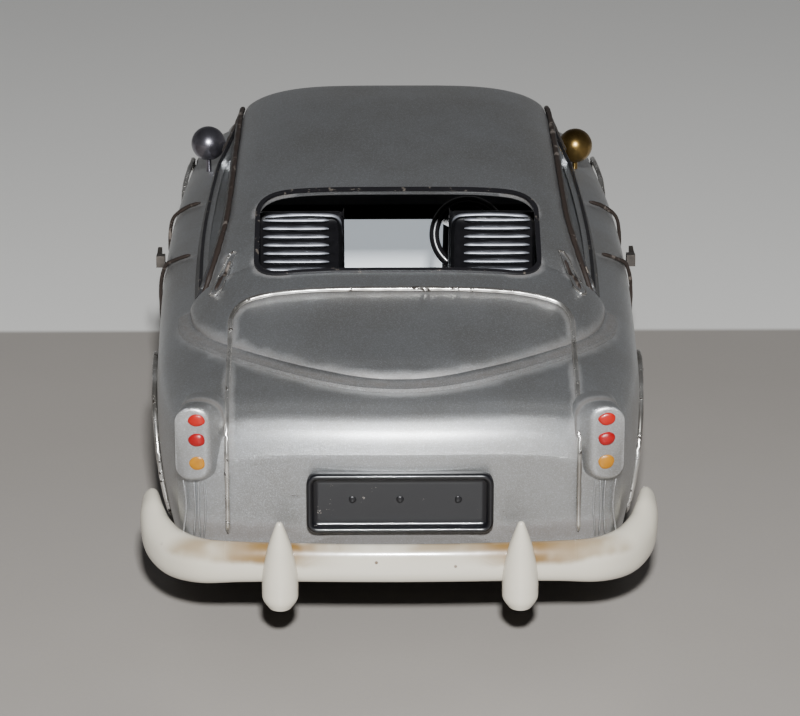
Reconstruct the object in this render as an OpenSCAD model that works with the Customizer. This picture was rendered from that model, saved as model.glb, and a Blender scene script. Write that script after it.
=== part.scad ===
// Collector's model of a 1960s fastback touring coupe, made the way a tinplate
// model is made: thin pressed shells on a flat base plate, with wire beads,
// cast bumpers and four wheels that roll on fixed steel axles.
// +Y is the car's forward direction, +X its right side, Z = 0 the ground.

/* [Body] */
// Height of the sill's lower edge above the ground
sill_z = 12; // [11:0.5:13]
// Thickness of the body pressing
body_wall = 1.6; // [1.4:0.1:2]
// Thickness of the roof pressing
roof_wall = 1.4; // [1.2:0.1:1.8]
// How far the tail's corners sit ahead of its middle
tail_bow = 10; // [8:1:12]
// How far the nose's corners sit behind its middle
nose_bow = 13; // [10:1:14]

/* [Wheels] */
// Rolling radius of a tyre
tyre_r = 23.5; // [23:0.5:24]
// Width of a tyre
tyre_w = 12; // [10:0.5:12.5]
// Distance from the centre line to the tyre's outer face
tyre_out = 61.5; // [60:0.5:62]
// Station of the rear axle
rear_axle_y = -82; // [-84:1:-80]
// Station of the front axle
front_axle_y = 88; // [86:1:90]
// Diameter of the axles
axle_d = 3; // [2.8:0.1:3.2]
// Radial clearance of a wheel on its axle
axle_fit = 0.05; // [0.03:0.01:0.08]
// Radius of the wheel arches
arch_r = 26.5; // [26:0.5:27]

/* [Trim] */
// Diameter of the boot and bonnet bead wire
bead_d = 1.3; // [1.1:0.1:1.5]
// Diameter of the gutter wire
gutter_d = 1.4; // [1.2:0.1:1.6]
// Offset of the boot bead's left run
bead_left = 43.5; // [42:0.5:45]
// Offset of the boot bead's right run
bead_right = 45.2; // [44:0.1:45.6]
// Offset of the bumper over-riders
overrider_x = 30.2; // [28:0.2:32]
// Ball diameter of the door mirrors
mirror_d = 10.2; // [9.6:0.2:10.6]

/* [Cabin] */
// Radius of the steering wheel's rim
steering_r = 11; // [10:0.5:12]
// Thickness of the steering wheel's rim
steering_t = 2.8; // [2:0.2:3]
// Offset of the steering wheel, on the right as the car is driven
steering_x = 20.5; // [20:0.5:22]
// Width of a seat
seat_w = 24; // [22:0.5:25]

/* [Hidden] */
$fn = 48;

silver = "#b9b8b4";
dark_trim = "#3a3430";
bright = "#d8d6d0";
cream = "#ece4cf";
black = "#16161a";
rubber = "#202022";

// Ends of the lower body along the car
tail_y = -157;
nose_y = 158;
half_y = (nose_y - tail_y) / 2;
mid_y = (nose_y + tail_y) / 2;
bow_reach = 62;
bow_width = 60;
film = 0.06;

// Lines of the lower body, as [station, value] rows
half_breadth = [[-157, 51], [-156.2, 54], [-154.8, 55.6], [-150, 57], [-140, 59.6], [-120, 62.4],
  [-100, 63.7], [-80, 64.4], [-60, 65], [-20, 65.8], [5, 65.7], [40, 64.6], [88, 63],
  [118, 61], [134, 58.4], [145, 54.6], [152, 49.6], [156, 43.6], [158, 36]];
top_line = [[-157, 53], [-156, 56.5], [-154, 60], [-150, 63.2], [-142, 66], [-125, 68.3],
  [-100, 69.6], [-60, 68.6], [-20, 67.6], [20, 67], [46, 66.2], [75, 62.4], [105, 58],
  [130, 54.2], [144, 51.4], [152, 48.6], [156.5, 44.8], [158, 41.5]];
wide_line = [[-157, 40], [-140, 45], [-80, 47], [0, 45], [80, 42.5], [140, 37], [158, 31]];
low_line = [[-157, 20], [-155, 15.5], [-149, 12.6], [-135, 12], [135, 12], [149, 13.2],
  [155, 17], [158, 23]];
sill_tuck = 5;
deck_crown = 1.8;

// Lines of the roof shell
roof_tail = -142;
roof_front = 44;
crescent_y = -88;
crescent_w = 55;
roof_line = [[-142, 66.4], [-140.5, 68.2], [-137, 70], [-130, 72], [-118, 74.7], [-106, 77.6],
  [-97, 80.1], [-80, 85.6], [-62, 91], [-40, 96], [-20, 98.8], [0, 99.6], [12, 98.2],
  [18, 95.4], [24, 90], [32, 81.6], [40, 72.8], [44, 68.2]];
gutter_line = [[-90, 68], [-86, 73], [-76, 79], [-59, 84.4], [-40, 88.6], [-12, 91.2],
  [8, 91.6], [16, 90], [22, 85.8], [30, 78], [38, 70.6], [44, 65]];
gutter_width = [[-90, 51.4], [-86, 49.6], [-82, 48.3], [-76, 47], [-67, 45.5], [-48, 44.2],
  [-23, 43.6], [8, 43], [16, 42.8], [22, 44], [30, 46.6], [38, 49.4], [44, 51.4]];
belt_width = [[-90, 53.8], [-60, 54.8], [-33, 55], [12, 53.8], [44, 52.6]];

// Smooth curve through [station, value] rows
function clamp(v, lo, hi) = min(max(v, lo), hi);
function row(t, y, i = 0) = (i >= len(t) - 2 || y < t[i + 1][0]) ? i : row(t, y, i + 1);
function chord(t, i) = (t[i + 1][1] - t[i][1]) / (t[i + 1][0] - t[i][0]);
function tangent(t, i) = i == 0 ? chord(t, 0)
  : i == len(t) - 1 ? chord(t, i - 1)
  : (chord(t, i - 1) * (t[i + 1][0] - t[i][0]) + chord(t, i) * (t[i][0] - t[i - 1][0]))
    / (t[i + 1][0] - t[i - 1][0]);
function fair(t, station) =
  let(y = clamp(station, t[0][0], t[len(t) - 1][0]), i = row(t, y), h = t[i + 1][0] - t[i][0],
    s = (y - t[i][0]) / h)
  (2 * s * s * s - 3 * s * s + 1) * t[i][1] + (s * s * s - 2 * s * s + s) * h * tangent(t, i)
  + (3 * s * s - 2 * s * s * s) * t[i + 1][1] + (s * s * s - s * s) * h * tangent(t, i + 1);
function ease(t) = let(s = clamp(t, 0, 1)) s * s * (3 - 2 * s);

// How far the skin at offset x is swept forward of its station
function bow(x, y) = y < 0
  ? tail_bow * ease((-y - (-tail_y - bow_reach)) / bow_reach) * pow(x / bow_width, 2)
  : -nose_bow * ease((y - (nose_y - bow_reach)) / bow_reach) * pow(x / bow_width, 2);

// Lower body: deck height at offset x and half breadth at height z
function low_z(y) = fair(low_line, y) + sill_z - 12;
function shoulder_power(y) = 4.2 - 0.7 * ease((y - 20) / 60);
function deck_z(x, y, grow = 0) =
  let(b = fair(half_breadth, y) + grow, w = fair(wide_line, y), t = fair(top_line, y) + grow,
    u = min(abs(x) / b, 1), p = shoulder_power(y))
  w + (t - w) * pow(1 - pow(u, p), 1 / p) - deck_crown * u * u;
function side_x(y, z, grow = 0) =
  let(b = fair(half_breadth, y) + grow, w = fair(wide_line, y), t = fair(top_line, y) + grow,
    l = low_z(y), p = shoulder_power(y))
  z < w ? b - sill_tuck * pow((w - z) / (w - l), 2)
  : b * pow(1 - pow(clamp((z - w + deck_crown / 2) / (t - w), 0, 1), p), 1 / p);

// Cross section of the lower body, as a ring of points
top_steps = 24;
side_steps = 6;
function body_ring(y, grow, floor_drop) =
  let(b = fair(half_breadth, y) + grow, w = fair(wide_line, y), l = low_z(y) - floor_drop,
    ys = mid_y + (y - mid_y) * (1 + grow / half_y))
  concat(
    [for (i = [0:top_steps]) let(a = 180 * i / top_steps, u = sign(cos(a)) * pow(abs(cos(a)), 0.62),
      x = b * u) [x, ys + bow(x, y), deck_z(x, y, grow)]],
    [for (i = [1:side_steps]) let(s = i / side_steps, x = -b + sill_tuck * s * s)
      [x, ys + bow(x, y), w - deck_crown - (w - deck_crown - l) * s]],
    [for (i = [side_steps:-1:1]) let(s = i / side_steps, x = b - sill_tuck * s * s)
      [x, ys + bow(x, y), w - deck_crown - (w - deck_crown - l) * s]]);

// Closed skin over a list of rings that all have the same number of points
module loft(rings) {
  n = len(rings[0]);
  m = len(rings);
  polyhedron(
    points = [for (r = rings) each r],
    faces = concat(
      [for (j = [0:m - 2], i = [0:n - 1]) let(k = (i + 1) % n)
        each [[j * n + i, j * n + k, (j + 1) * n + k], [j * n + i, (j + 1) * n + k, (j + 1) * n + i]]],
      [[for (i = [n - 1:-1:0]) i]],
      [[for (i = [0:n - 1]) (m - 1) * n + i]]),
    convexity = 8);
}

body_steps = 42;
function eased_stations(a, b, n) = [for (i = [0:n]) a + (b - a) * (1 - cos(180 * i / n)) / 2];
module body_solid(grow = 0, floor_drop = 0) {
  loft([for (y = eased_stations(tail_y, nose_y, body_steps)) body_ring(y, grow, floor_drop)]);
}

// Cross section of the roof shell, from one belt over the crown to the other
crown_steps = 20;
pillar_steps = 3;
roof_root_z = 56;
function roof_half(y) = y < crescent_y - 2
  ? crescent_w * sqrt(max(0, 1 - pow((y - crescent_y) / (roof_tail - 0.05 - crescent_y), 2)))
  : fair(gutter_width, y);
function roof_edge(y) = y < crescent_y - 2 ? fair(top_line, y) - 2.2 : fair(gutter_line, y);
function crown_power(y) = 3 + 1.2 * ease((y + 125) / 60);
function crown_z(x, y, grow = 0) =
  let(e = roof_edge(y) + grow, u = min(abs(x) / (roof_half(y) + grow), 1))
  e + max(fair(roof_line, y) + grow - e, 0.3)
    * pow(1 - pow(u, crown_power(y)), 0.62 + 0.1 * ease((y + 125) / 60));
function roof_ring(y, grow) =
  let(g = roof_half(y) + grow, e = roof_edge(y) + grow,
    b = (y < crescent_y - 2 ? g : fair(belt_width, y) + grow),
    half = [for (i = [0:pillar_steps]) let(s = i / pillar_steps)
      [b + (g - b) * s, s == 0 ? min(64, e) : min(64, e) + (e - min(64, e)) * s]])
  concat([[b, y + bow(b, y), roof_root_z]],
    [for (p = half) [p[0], y + bow(p[0], y), p[1]]],
    [for (i = [1:crown_steps - 1]) let(x = g * cos(180 * i / crown_steps))
      [x, y + bow(x, y), crown_z(x, y, grow)]],
    [for (i = [pillar_steps:-1:0]) [-half[i][0], y + bow(half[i][0], y), half[i][1]]],
    [[-b, y + bow(b, y), roof_root_z]]);
roof_steps = 34;
module roof_solid(grow = 0) {
  a = roof_tail + 0.6 - grow;
  b = roof_front + grow * 1.6;
  loft([for (i = [0:roof_steps]) let(s = i / roof_steps, y = a + (b - a) * s * sqrt(s))
    roof_ring(y, grow)]);
}

// Round wire swept along a route; ref is a direction that the route never runs along
function unit(v) = v / max(norm(v), 1e-6);
function heading(p, i, closed) = let(n = len(p))
  closed ? unit(p[(i + 1) % n] - p[(i + n - 1) % n])
  : unit(p[min(i + 1, n - 1)] - p[max(i - 1, 0)]);
module wire(route, d, ref = [0, 0, 1], closed = false, sides = 8, flat = 1) {
  n = len(route);
  pts = [for (i = [0:n - 1]) let(t = heading(route, i, closed), u = unit(cross(ref, t)),
    v = unit(cross(t, u))) for (k = [0:sides - 1]) let(a = 360 * k / sides)
      route[i] + d / 2 * (cos(a) * u + flat * sin(a) * v)];
  last = closed ? n - 1 : n - 2;
  polyhedron(
    points = pts,
    faces = concat(
      [for (j = [0:last], k = [0:sides - 1]) let(a = j * sides, b = ((j + 1) % n) * sides,
        q = (k + 1) % sides)
        each [[a + k, b + k, b + q], [a + k, b + q, a + q]]],
      closed ? [] : [[for (k = [0:sides - 1]) k],
        [for (k = [sides - 1:-1:0]) (n - 1) * sides + k]]),
    convexity = 6);
}

// Child and its mirror image on the other side of the car
module both_sides() {
  children();
  mirror([1, 0, 0]) children();
}

// ---- lower body -------------------------------------------------------------

body_widest = max([for (y = [-60:60]) fair(half_breadth, y)]);
cabin_rear = -90;
cabin_front = 38;
cabin_half = 48;

module cabin_opening() {
  translate([0, (cabin_rear + cabin_front) / 2, 50])
    linear_extrude(40)
      offset(8) square([2 * cabin_half - 16, cabin_front - cabin_rear - 16], center = true);
}

module wheel_arches() {
  both_sides()
    for (y = [rear_axle_y, front_axle_y])
      translate([46, y, tyre_r]) rotate([0, 90, 0]) cylinder(r = arch_r, h = 30, $fn = 64);
}

grille_z = 31.5;
grille_w = 46;
grille_h = 14;
function grille_path(grow) = round_path(rectangle(grille_w + 2 * grow, grille_h + 2 * grow), 6 + grow);
headlamp_y = 145;
headlamp_x = 46;
headlamp_z = 37.6;
headlamp_r = 8.4;

module body_shell() color(silver)
  resize([2 * body_widest, 0, 0]) difference() {
    body_solid();
    body_solid(-body_wall, 6);
    cabin_opening();
    wheel_arches();
    translate([0, nose_y, grille_z]) rotate([90, 0, 0])
      linear_extrude(30, center = true) polygon(grille_path(0));
    both_sides() translate([headlamp_x, headlamp_y - 8, headlamp_z]) rotate([-90, 0, 0])
      cylinder(r = headlamp_r + 0.3, h = 30);
  }

// ---- roof, pillars and fastback, one pressing with a flange round its tail --------

rear_window_y = -79;
rear_window_z = 85.6;
rear_window_tilt = 17.2;
rear_window_w = 74.6;
rear_window_l = 36;
window_corner = 8;
screen_y = 31;
screen_z = 82.5;
screen_tilt = -46;
screen_l = 25;
side_window = [[-79, 67.6], [-70, 76.6], [-57, 82.4], [-38, 86.6], [-12, 89], [8, 89], [16, 86],
  [33, 67.6]];
flange_w = 3.4;
flange_t = 0.9;
roof_widest = crescent_w + flange_w;

// Outline with its corners rounded by curves that start at distance r from each corner
function round_path(p, r, n = 5) = [for (i = [0:len(p) - 1])
  let(v = p[i], a = v + r * unit(p[(i + len(p) - 1) % len(p)] - v), b = v + r * unit(p[(i + 1) % len(p)] - v))
  for (k = [0:n]) let(t = k / n) (1 - t) * (1 - t) * a + 2 * t * (1 - t) * v + t * t * b];
function rectangle(w, l) = [[-w / 2, -l / 2], [w / 2, -l / 2], [w / 2, l / 2], [-w / 2, l / 2]];
rear_window = round_path(rectangle(rear_window_w, rear_window_l), window_corner);
screen = round_path([[-39, -screen_l / 2], [39, -screen_l / 2], [44.5, screen_l / 2],
  [-44.5, screen_l / 2]], 7);
side_glass = round_path(side_window, 2.4, 3);

function crescent(a, grow = 0) = let(x = (crescent_w + grow) * cos(a),
  y = crescent_y - (crescent_y - roof_tail + grow) * sin(a)) [x, y + bow(x, y)];

module flange() {
  intersection() {
    body_solid(flange_t);
    translate([0, 0, 55]) linear_extrude(30)
      polygon(concat([for (a = [0:9:180]) crescent(a, flange_w)],
        [for (a = [180:-9:0]) crescent(a, -1.5)]));
  }
}

module roof_shell() color(silver)
  resize([2 * roof_widest, 0, 0]) difference() {
    union() {
      difference() {
        roof_solid();
        roof_solid(-roof_wall);
        translate([0, rear_window_y, rear_window_z]) rotate([rear_window_tilt, 0, 0])
          linear_extrude(30, center = true) polygon(rear_window);
        translate([0, screen_y, screen_z]) rotate([screen_tilt, 0, 0])
          linear_extrude(30, center = true) polygon(screen);
        both_sides() translate([40, 0, 0]) rotate([90, 0, 90]) linear_extrude(30)
          polygon(side_glass);
      }
      flange();
    }
    body_solid(film);
  }

// ---- wire beads and seams, soldered along the pressings ---------------------------

// Height of the outermost skin, deck or roof, at a place in plan
function on_flange(x, y) = pow(x / (crescent_w + flange_w), 2)
  + pow((y - crescent_y) / (crescent_y - roof_tail + flange_w), 2) < 1.1;
function skin_z(x, y, grow) = abs(x) < roof_half(y) && y < roof_front && y > roof_tail
  ? max(deck_z(x, y, grow + flange_t), crown_z(x, y, grow))
  : deck_z(x, y, grow + (y < crescent_y && on_flange(x, y) ? flange_t : 0));
function on_skin(x, y, grow) = [x, mid_y + (y - mid_y) * (1 + grow / half_y) + bow(x, y),
  skin_z(x, y, grow)];

bead_lift = bead_d / 2 + film;
bead_top_y = -105;
bead_foot_z = 30;
bead_roll = [-157, -156.4, -155.2, -153.4, -151, -148, -144, -139, -133, -127, -121, -115];
function bead_run(x) = concat(
  [for (z = [bead_foot_z, 36, 42, 46]) [x, tail_y - bead_lift + bow(x, tail_y), z]],
  [for (y = bead_roll) on_skin(x, y, bead_lift)],
  [on_skin(x * 0.995, -111, bead_lift), on_skin(x * 0.96, -107.6, bead_lift),
    on_skin(x * 0.89, -105.6, bead_lift)]);
function flip(p) = [for (i = [len(p) - 1:-1:0]) p[i]];

module boot_bead() color(bright)
  wire(concat(bead_run(-bead_left), [for (x = [-33:6:33]) on_skin(x, bead_top_y, bead_lift)],
    flip(bead_run(bead_right))), bead_d);

bonnet_half_rear = 38;
bonnet_half_front = 27;
module bonnet_bead() color(bright)
  wire(concat([for (y = [52:7:136]) on_skin(-bonnet_half_rear
        + (bonnet_half_rear - bonnet_half_front) * (y - 52) / 84, y, bead_lift)],
      [for (x = [-24:6:24]) on_skin(x, 140, bead_lift)],
      [for (y = [136:-7:52]) on_skin(bonnet_half_rear
        - (bonnet_half_rear - bonnet_half_front) * (y - 52) / 84, y, bead_lift)]), bead_d);

// Low domed air scoop on the bonnet, open at its front
module bonnet_scoop() color(silver)
  resize([18, 0, 0]) difference() {
    hull() {
      translate([0, 118, deck_z(0, 118)]) scale([1, 0.1, 0.36]) sphere(9, $fn = 32);
      translate([0, 88, deck_z(0, 88) - 1]) scale([0.6, 0.3, 0.2]) sphere(9, $fn = 32);
    }
    hull() {
      translate([0, 120, deck_z(0, 120)]) scale([1, 0.1, 0.36]) sphere(7.6, $fn = 32);
      translate([0, 112, deck_z(0, 112)]) scale([0.7, 0.1, 0.2]) sphere(7.6, $fn = 32);
    }
    body_solid(film);
  }

seam_d = 1.1;
seam_lift = seam_d / 2 + 0.18;
function shoulder(x, y) = on_skin(x, y, seam_lift);
function flank(y, z) = [side_x(y, z, seam_lift), y, z];
door_route = concat(
  [for (p = [[57.5, -35], [60, -33.5], [62, -31.6]]) shoulder(p[0], p[1])],
  [for (p = [[-29, 58], [-27, 52], [-26, 44], [-26, 34], [-26, 24], [-24, 19.5], [-20, 18], [-8, 18],
    [4, 18], [13, 18], [17, 19.5], [19, 24], [19, 34], [19, 44], [18, 52], [16.5, 57]]) flank(p[0], p[1])],
  [for (p = [[60.6, 14.4], [58.6, 13], [56.6, 12]]) shoulder(p[0], p[1])]);
module door_seam() wire(door_route, seam_d, ref = [0.3, 0.2, 0.05], sides = 6);
module door_seam_right() color(dark_trim) door_seam();
module door_seam_left() color(dark_trim) mirror([1, 0, 0]) door_seam();

gutter_lift = gutter_d / 2 + 0.95;
module gutter() wire([for (y = [-87.6, -86, -83, -78, -71, -63, -54, -44, -34, -23, -12, -2, 6, 12, 17, 22,
    28, 34, 39]) [fair(gutter_width, y) + gutter_lift, y, fair(gutter_line, y) + 0.6]], gutter_d,
    ref = [1, 0, 0.2]);
module gutter_right() color(dark_trim) gutter();
module gutter_left() color(dark_trim) mirror([1, 0, 0]) gutter();

// ---- window frames -------------------------------------------------------------

frame_w = 1.9;
frame_t = 0.9;
frame_lip = 0.5;
// Rubber strip that follows the roof skin round an opening, with a lip over the edge
module rubber_strip()
  intersection() {
    difference() {
      roof_solid(frame_t);
      roof_solid(film);
      body_solid(film);
    }
    children();
  }
module strip_outline(outline) linear_extrude(24, center = true) difference() {
  offset(frame_w) polygon(outline);
  offset(-frame_lip) polygon(outline);
}
function reach(outline, k) = max([for (p = outline) p[k]]) + frame_w;

module rear_window_frame() color(black) resize([2 * reach(rear_window, 0), 0, 0]) rubber_strip()
  translate([0, rear_window_y, rear_window_z]) rotate([rear_window_tilt, 0, 0])
    strip_outline(rear_window);

module windscreen_frame() color(black) resize([2 * reach(screen, 0), 0, 0]) rubber_strip()
  translate([0, screen_y, screen_z]) rotate([screen_tilt, 0, 0]) strip_outline(screen);

module side_window_frame() resize([0, 0, reach(side_glass, 1) - side_window[0][1] + frame_w])
  rubber_strip() translate([50, 0, 0]) rotate([90, 0, 90]) strip_outline(side_glass);
module side_window_frame_right() color(black) side_window_frame();
module side_window_frame_left() color(black) mirror([1, 0, 0]) side_window_frame();

// Small louvred plate on each rear pillar
vent_x = 45.4;
vent_y = -86.5;
module pillar_vent() {
  dzdx = (crown_z(vent_x + 3, vent_y) - crown_z(vent_x - 3, vent_y)) / 6;
  dzdy = (crown_z(vent_x, vent_y + 3) - crown_z(vent_x, vent_y - 3)) / 6;
  translate([vent_x, vent_y, crown_z(vent_x, vent_y) + 1.45])
    rotate([atan(dzdy), -atan(dzdx), 0])
      difference() {
        linear_extrude(1) polygon([[-2.6, -5.2], [1.2, -3.4], [2.8, 5], [-1, 3.4]]);
        translate([-0.9, -2, 0.4]) cube([0.9, 4.4, 2]);
      }
}
module pillar_vent_right() color(silver) pillar_vent();
module pillar_vent_left() color(silver) mirror([1, 0, 0]) pillar_vent();

// ---- bumpers ------------------------------------------------------------------

// Bar with a rounded section; rows are [x, y, z, half depth, half height]
bar_sides = 14;
function bar_ring(rows, i) =
  let(t = unit([for (k = [0, 1]) rows[min(i + 1, len(rows) - 1)][k] - rows[max(i - 1, 0)][k]]),
    n = [t[1], -t[0]])
  [for (k = [0:bar_sides - 1]) let(a = 360 * k / bar_sides,
    c = sign(cos(a)) * pow(abs(cos(a)), 0.8), s = sign(sin(a)) * pow(abs(sin(a)), 0.8))
    [rows[i][0] + n[0] * c * rows[i][3], rows[i][1] + n[1] * c * rows[i][3], rows[i][2] + s * rows[i][4]]];
module bar(half) {
  rows = concat([for (i = [len(half) - 1:-1:1]) [-half[i][0], half[i][1], half[i][2], half[i][3], half[i][4]]],
    half);
  loft([for (i = [len(rows) - 1:-1:0]) bar_ring(rows, i)]);
}

rear_bumper_line = [[0, -160.7, 25.2, 2.6, 5], [14, -160.5, 25.2, 2.6, 5], [28, -159.7, 25.1, 2.7, 5.1],
  [40, -157.9, 24.8, 3, 5.5], [50, -154.5, 24.2, 3.6, 6.4], [57, -149.2, 24, 3.9, 7],
  [61.4, -143.4, 25, 3.7, 6.9], [63.2, -138.4, 27, 3.2, 6], [63.8, -134.4, 28.8, 2.6, 4.6],
  [64, -131.6, 29.8, 2, 3], [64, -130.4, 30, 1, 1.4]];
module rear_bumper() color(cream) bar(rear_bumper_line);

front_bumper_line = [[0, 164, 21.5, 2.4, 4.6], [16, 163.7, 21.5, 2.4, 4.6], [30, 162, 21.5, 2.6, 4.7],
  [42, 158.6, 21.6, 2.8, 4.9], [52, 153, 21.8, 3, 5.1], [59, 145.6, 22.2, 2.9, 4.9],
  [63.2, 137.5, 23.2, 2.2, 3.9], [64.8, 130, 24.6, 1.3, 2.4], [65.2, 125, 25.8, 0.5, 0.8]];
module front_bumper() color(cream) bar(front_bumper_line);

// Tusk shaped over-rider; rows are [z, radius, distance proud of the bar]
tusk = [[14.8, 2.9, 0.8], [16.4, 4.2, 0.2], [19.5, 4.6, 0], [23.5, 4.4, 0], [27.5, 3.8, 0.1],
  [31.5, 2.9, 0.5], [35, 1.8, 1], [37.8, 0.8, 1.4]];
tusk_sides = 16;
tusk_y = -163.3;
module overrider(x) {
  loft([for (r = tusk) [for (k = [0:tusk_sides - 1]) let(a = 360 * k / tusk_sides)
    [x + r[1] * cos(a), tusk_y + r[1] * sin(a) - r[2], r[0]]]]);
}
front_spacing = 52;
module rear_overrider_right() color(cream) overrider(overrider_x);
module rear_overrider_left() color(cream) overrider(-overrider_x);
module front_overriders() color(cream)
  for (x = [-front_spacing / 2, front_spacing / 2]) mirror([0, 1, 0]) overrider(x);

// ---- plate, lamps and grille ----------------------------------------------------

plate_w = 47;
plate_h = 16;
plate_z = 40.8;
plate_y = tail_y - 0.1;
module number_plate() color(black)
  translate([0, plate_y, plate_z]) rotate([90, 0, 0]) {
    difference() {
      linear_extrude(2.6) polygon(round_path(rectangle(plate_w, plate_h), 3));
      translate([0, 0, 0.9])
        linear_extrude(3) polygon(round_path(rectangle(plate_w - 3, plate_h - 3), 2.2));
      for (x = [-12, 0, 14.5])
        translate([x, 0.6, 0.5]) cylinder(d = 1.2, h = 1);
    }
  }

lamp_x = 50.6;
lamp_z = 54.2;
lamp_back = -143;
lamp_yaw = 8;
lamp_w = 9;
lamp_h = 21;
lamp_out = 9.6;
lamp_foot = 4;
lamp_flare = 2.8;
lamp_edge = 46.05;
// Tall rounded housing with drafted sides that flare where they meet the wing
module tail_lamp()
  translate([lamp_x, lamp_back, lamp_z]) rotate([90, 0, lamp_yaw]) hull() {
    translate([-lamp_flare / 2, 0, 0]) linear_extrude(lamp_out - lamp_foot)
      polygon(round_path(rectangle(lamp_w + lamp_flare, lamp_h), 5.6));
    linear_extrude(lamp_out - 1) polygon(round_path(rectangle(lamp_w, lamp_h - 1), 4.6));
    linear_extrude(lamp_out) polygon(round_path(rectangle(lamp_w - 1.8, lamp_h - 2.6), 3.7));
  }
module lamp_housing() resize([0, 0, lamp_h]) difference() {
  tail_lamp();
  body_solid(film);
  translate([0, -180, 20]) cube([lamp_edge, 60, 60]);
}
module tail_lamp_right() color(silver) lamp_housing();
module tail_lamp_left() color(silver) mirror([1, 0, 0]) lamp_housing();

// Domed lens on the housing's face, at height z
lens_r = 2.1;
module tail_lens(z) both_sides()
  translate([lamp_x, lamp_back, z]) rotate([90, 0, lamp_yaw])
    translate([0, 0, lamp_out + 0.02])
      rotate_extrude() polygon([[0, 0], [lens_r, 0], [lens_r * 0.92, 0.35], [lens_r * 0.6, 0.7], [0, 0.85]]);
module tail_lens_upper() color("orangered") tail_lens(60.8);
module tail_lens_middle() color("crimson") tail_lens(55.5);
module tail_lens_lower() color("goldenrod") tail_lens(49.2);

module grille_surround() color(bright)
  resize([grille_w + 3.6, 0, 0]) difference() {
    translate([0, nose_y + 1.4, grille_z]) rotate([90, 0, 0])
      linear_extrude(14) difference() {
        polygon(grille_path(1.8));
        polygon(grille_path(0.05));
      }
    body_solid(film);
  }
bar_pitch = 4.2;
module grille_bars() color(bright)
  for (x = [-5 * bar_pitch:bar_pitch:5 * bar_pitch])
    translate([x - 0.5, nose_y - 7, grille_z - grille_h / 2 + 0.3]) cube([1, 3, grille_h - 0.6]);

module headlamp_rims() color(bright)
  both_sides() translate([headlamp_x, headlamp_y, headlamp_z]) rotate([-90, 0, 0])
    rotate_extrude() polygon([[6.9, -3], [8.3, -3], [8.3, 3.4], [7.7, 4.2], [6.9, 3.8]]);
module headlamp_lenses() color("#dfe6e8")
  both_sides() translate([headlamp_x, headlamp_y, headlamp_z]) rotate([-90, 0, 0])
    rotate_extrude() polygon([[0, -2], [6.85, -2], [6.85, 1.6], [5.6, 3], [3.4, 4], [0, 4.5]]);
module side_lamps() color("#e0a040")
  both_sides() translate([48, 148.6, 26.4]) rotate([-90, 0, -22])
    rotate_extrude() polygon([[0, 0], [2.6, 0], [2.6, 1.2], [1.8, 2], [0, 2.4]]);

// ---- arch lips, mirrors and handles ------------------------------------------------

lip_d = 1.5;
module arch_lip(axle_y, from, to)
  wire([for (a = [from:9:to]) let(y = axle_y + (arch_r - 0.1) * cos(a), z = tyre_r + (arch_r - 0.1) * sin(a))
    [side_x(y, z, lip_d / 2 + 0.14), y, z]], lip_d, ref = [1, 0, 0]);
module arch_lip_rear_right() color(bright) arch_lip(rear_axle_y, -18, 198);
module arch_lip_rear_left() color(bright) mirror([1, 0, 0]) arch_lip(rear_axle_y, -18, 198);
module arch_lip_front_right() color(bright) arch_lip(front_axle_y, -18, 198);
module arch_lip_front_left() color(bright) mirror([1, 0, 0]) arch_lip(front_axle_y, -18, 198);

mirror_left_x = 55.5;
mirror_right_x = 54.2;
mirror_y = 47;
mirror_left_z = 69.7;
mirror_right_z = 68.7;
stalk_d = 1.6;
// Round mirror body on a short upright stalk
module mirror_ball(x, z) {
  foot = deck_z(x - stalk_d / 2, mirror_y) + film;
  translate([x, mirror_y, z]) sphere(d = mirror_d);
  translate([x, mirror_y, foot]) cylinder(d = stalk_d, h = z - foot - 3);
}
module mirror_right() color("#8f7440") mirror_ball(mirror_right_x, mirror_right_z);
module mirror_left() color("#8e8b92") mirror([1, 0, 0]) mirror_ball(mirror_left_x, mirror_left_z);

handle_y = -22;
handle_z = 57;
module door_handle() {
  foot = side_x(handle_y, handle_z - 2) + 0.12;
  translate([foot, handle_y - 2.4, handle_z - 1.7])
    rotate([90, 0, 90]) linear_extrude(67.7 - foot)
      polygon([[0, 0.4], [4.8, 0], [4.6, 3], [0.6, 3.6]]);
  translate([66.5, handle_y + 2, handle_z - 1.3]) cube([1.2, 7, 2.2]);
}
module door_handle_right() color(dark_trim) door_handle();
module door_handle_left() color(dark_trim) mirror([1, 0, 0]) door_handle();

// ---- base plate with folded axle brackets ---------------------------------------

plate_low = sill_z + 0.6;
plate_t = 1.2;
bracket_x = 47.4;
bracket_t = 1.6;
bracket_l = 12;
base_half = 56;
base_waist = bracket_x + bracket_t / 2;
plate_rows = [-138, -132, -124, -112, 112, 124, 132, 136];
// Half width of the plate, clear of the sills and of the swept tail and nose
function plate_edge(y) = min(base_half, side_x(1.05 * y, plate_low + plate_t) - body_wall - 1);
screw_spots = [for (y = [-30, 30]) for (x = [-53, 53]) [x, y]];
screw_d = 2.2;
head_d = 4.4;
axle_pinch = 0.02;

module axle_notch(y) translate([base_waist, y - 29, plate_low - 1]) cube([30, 58, plate_t + 2]);

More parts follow.
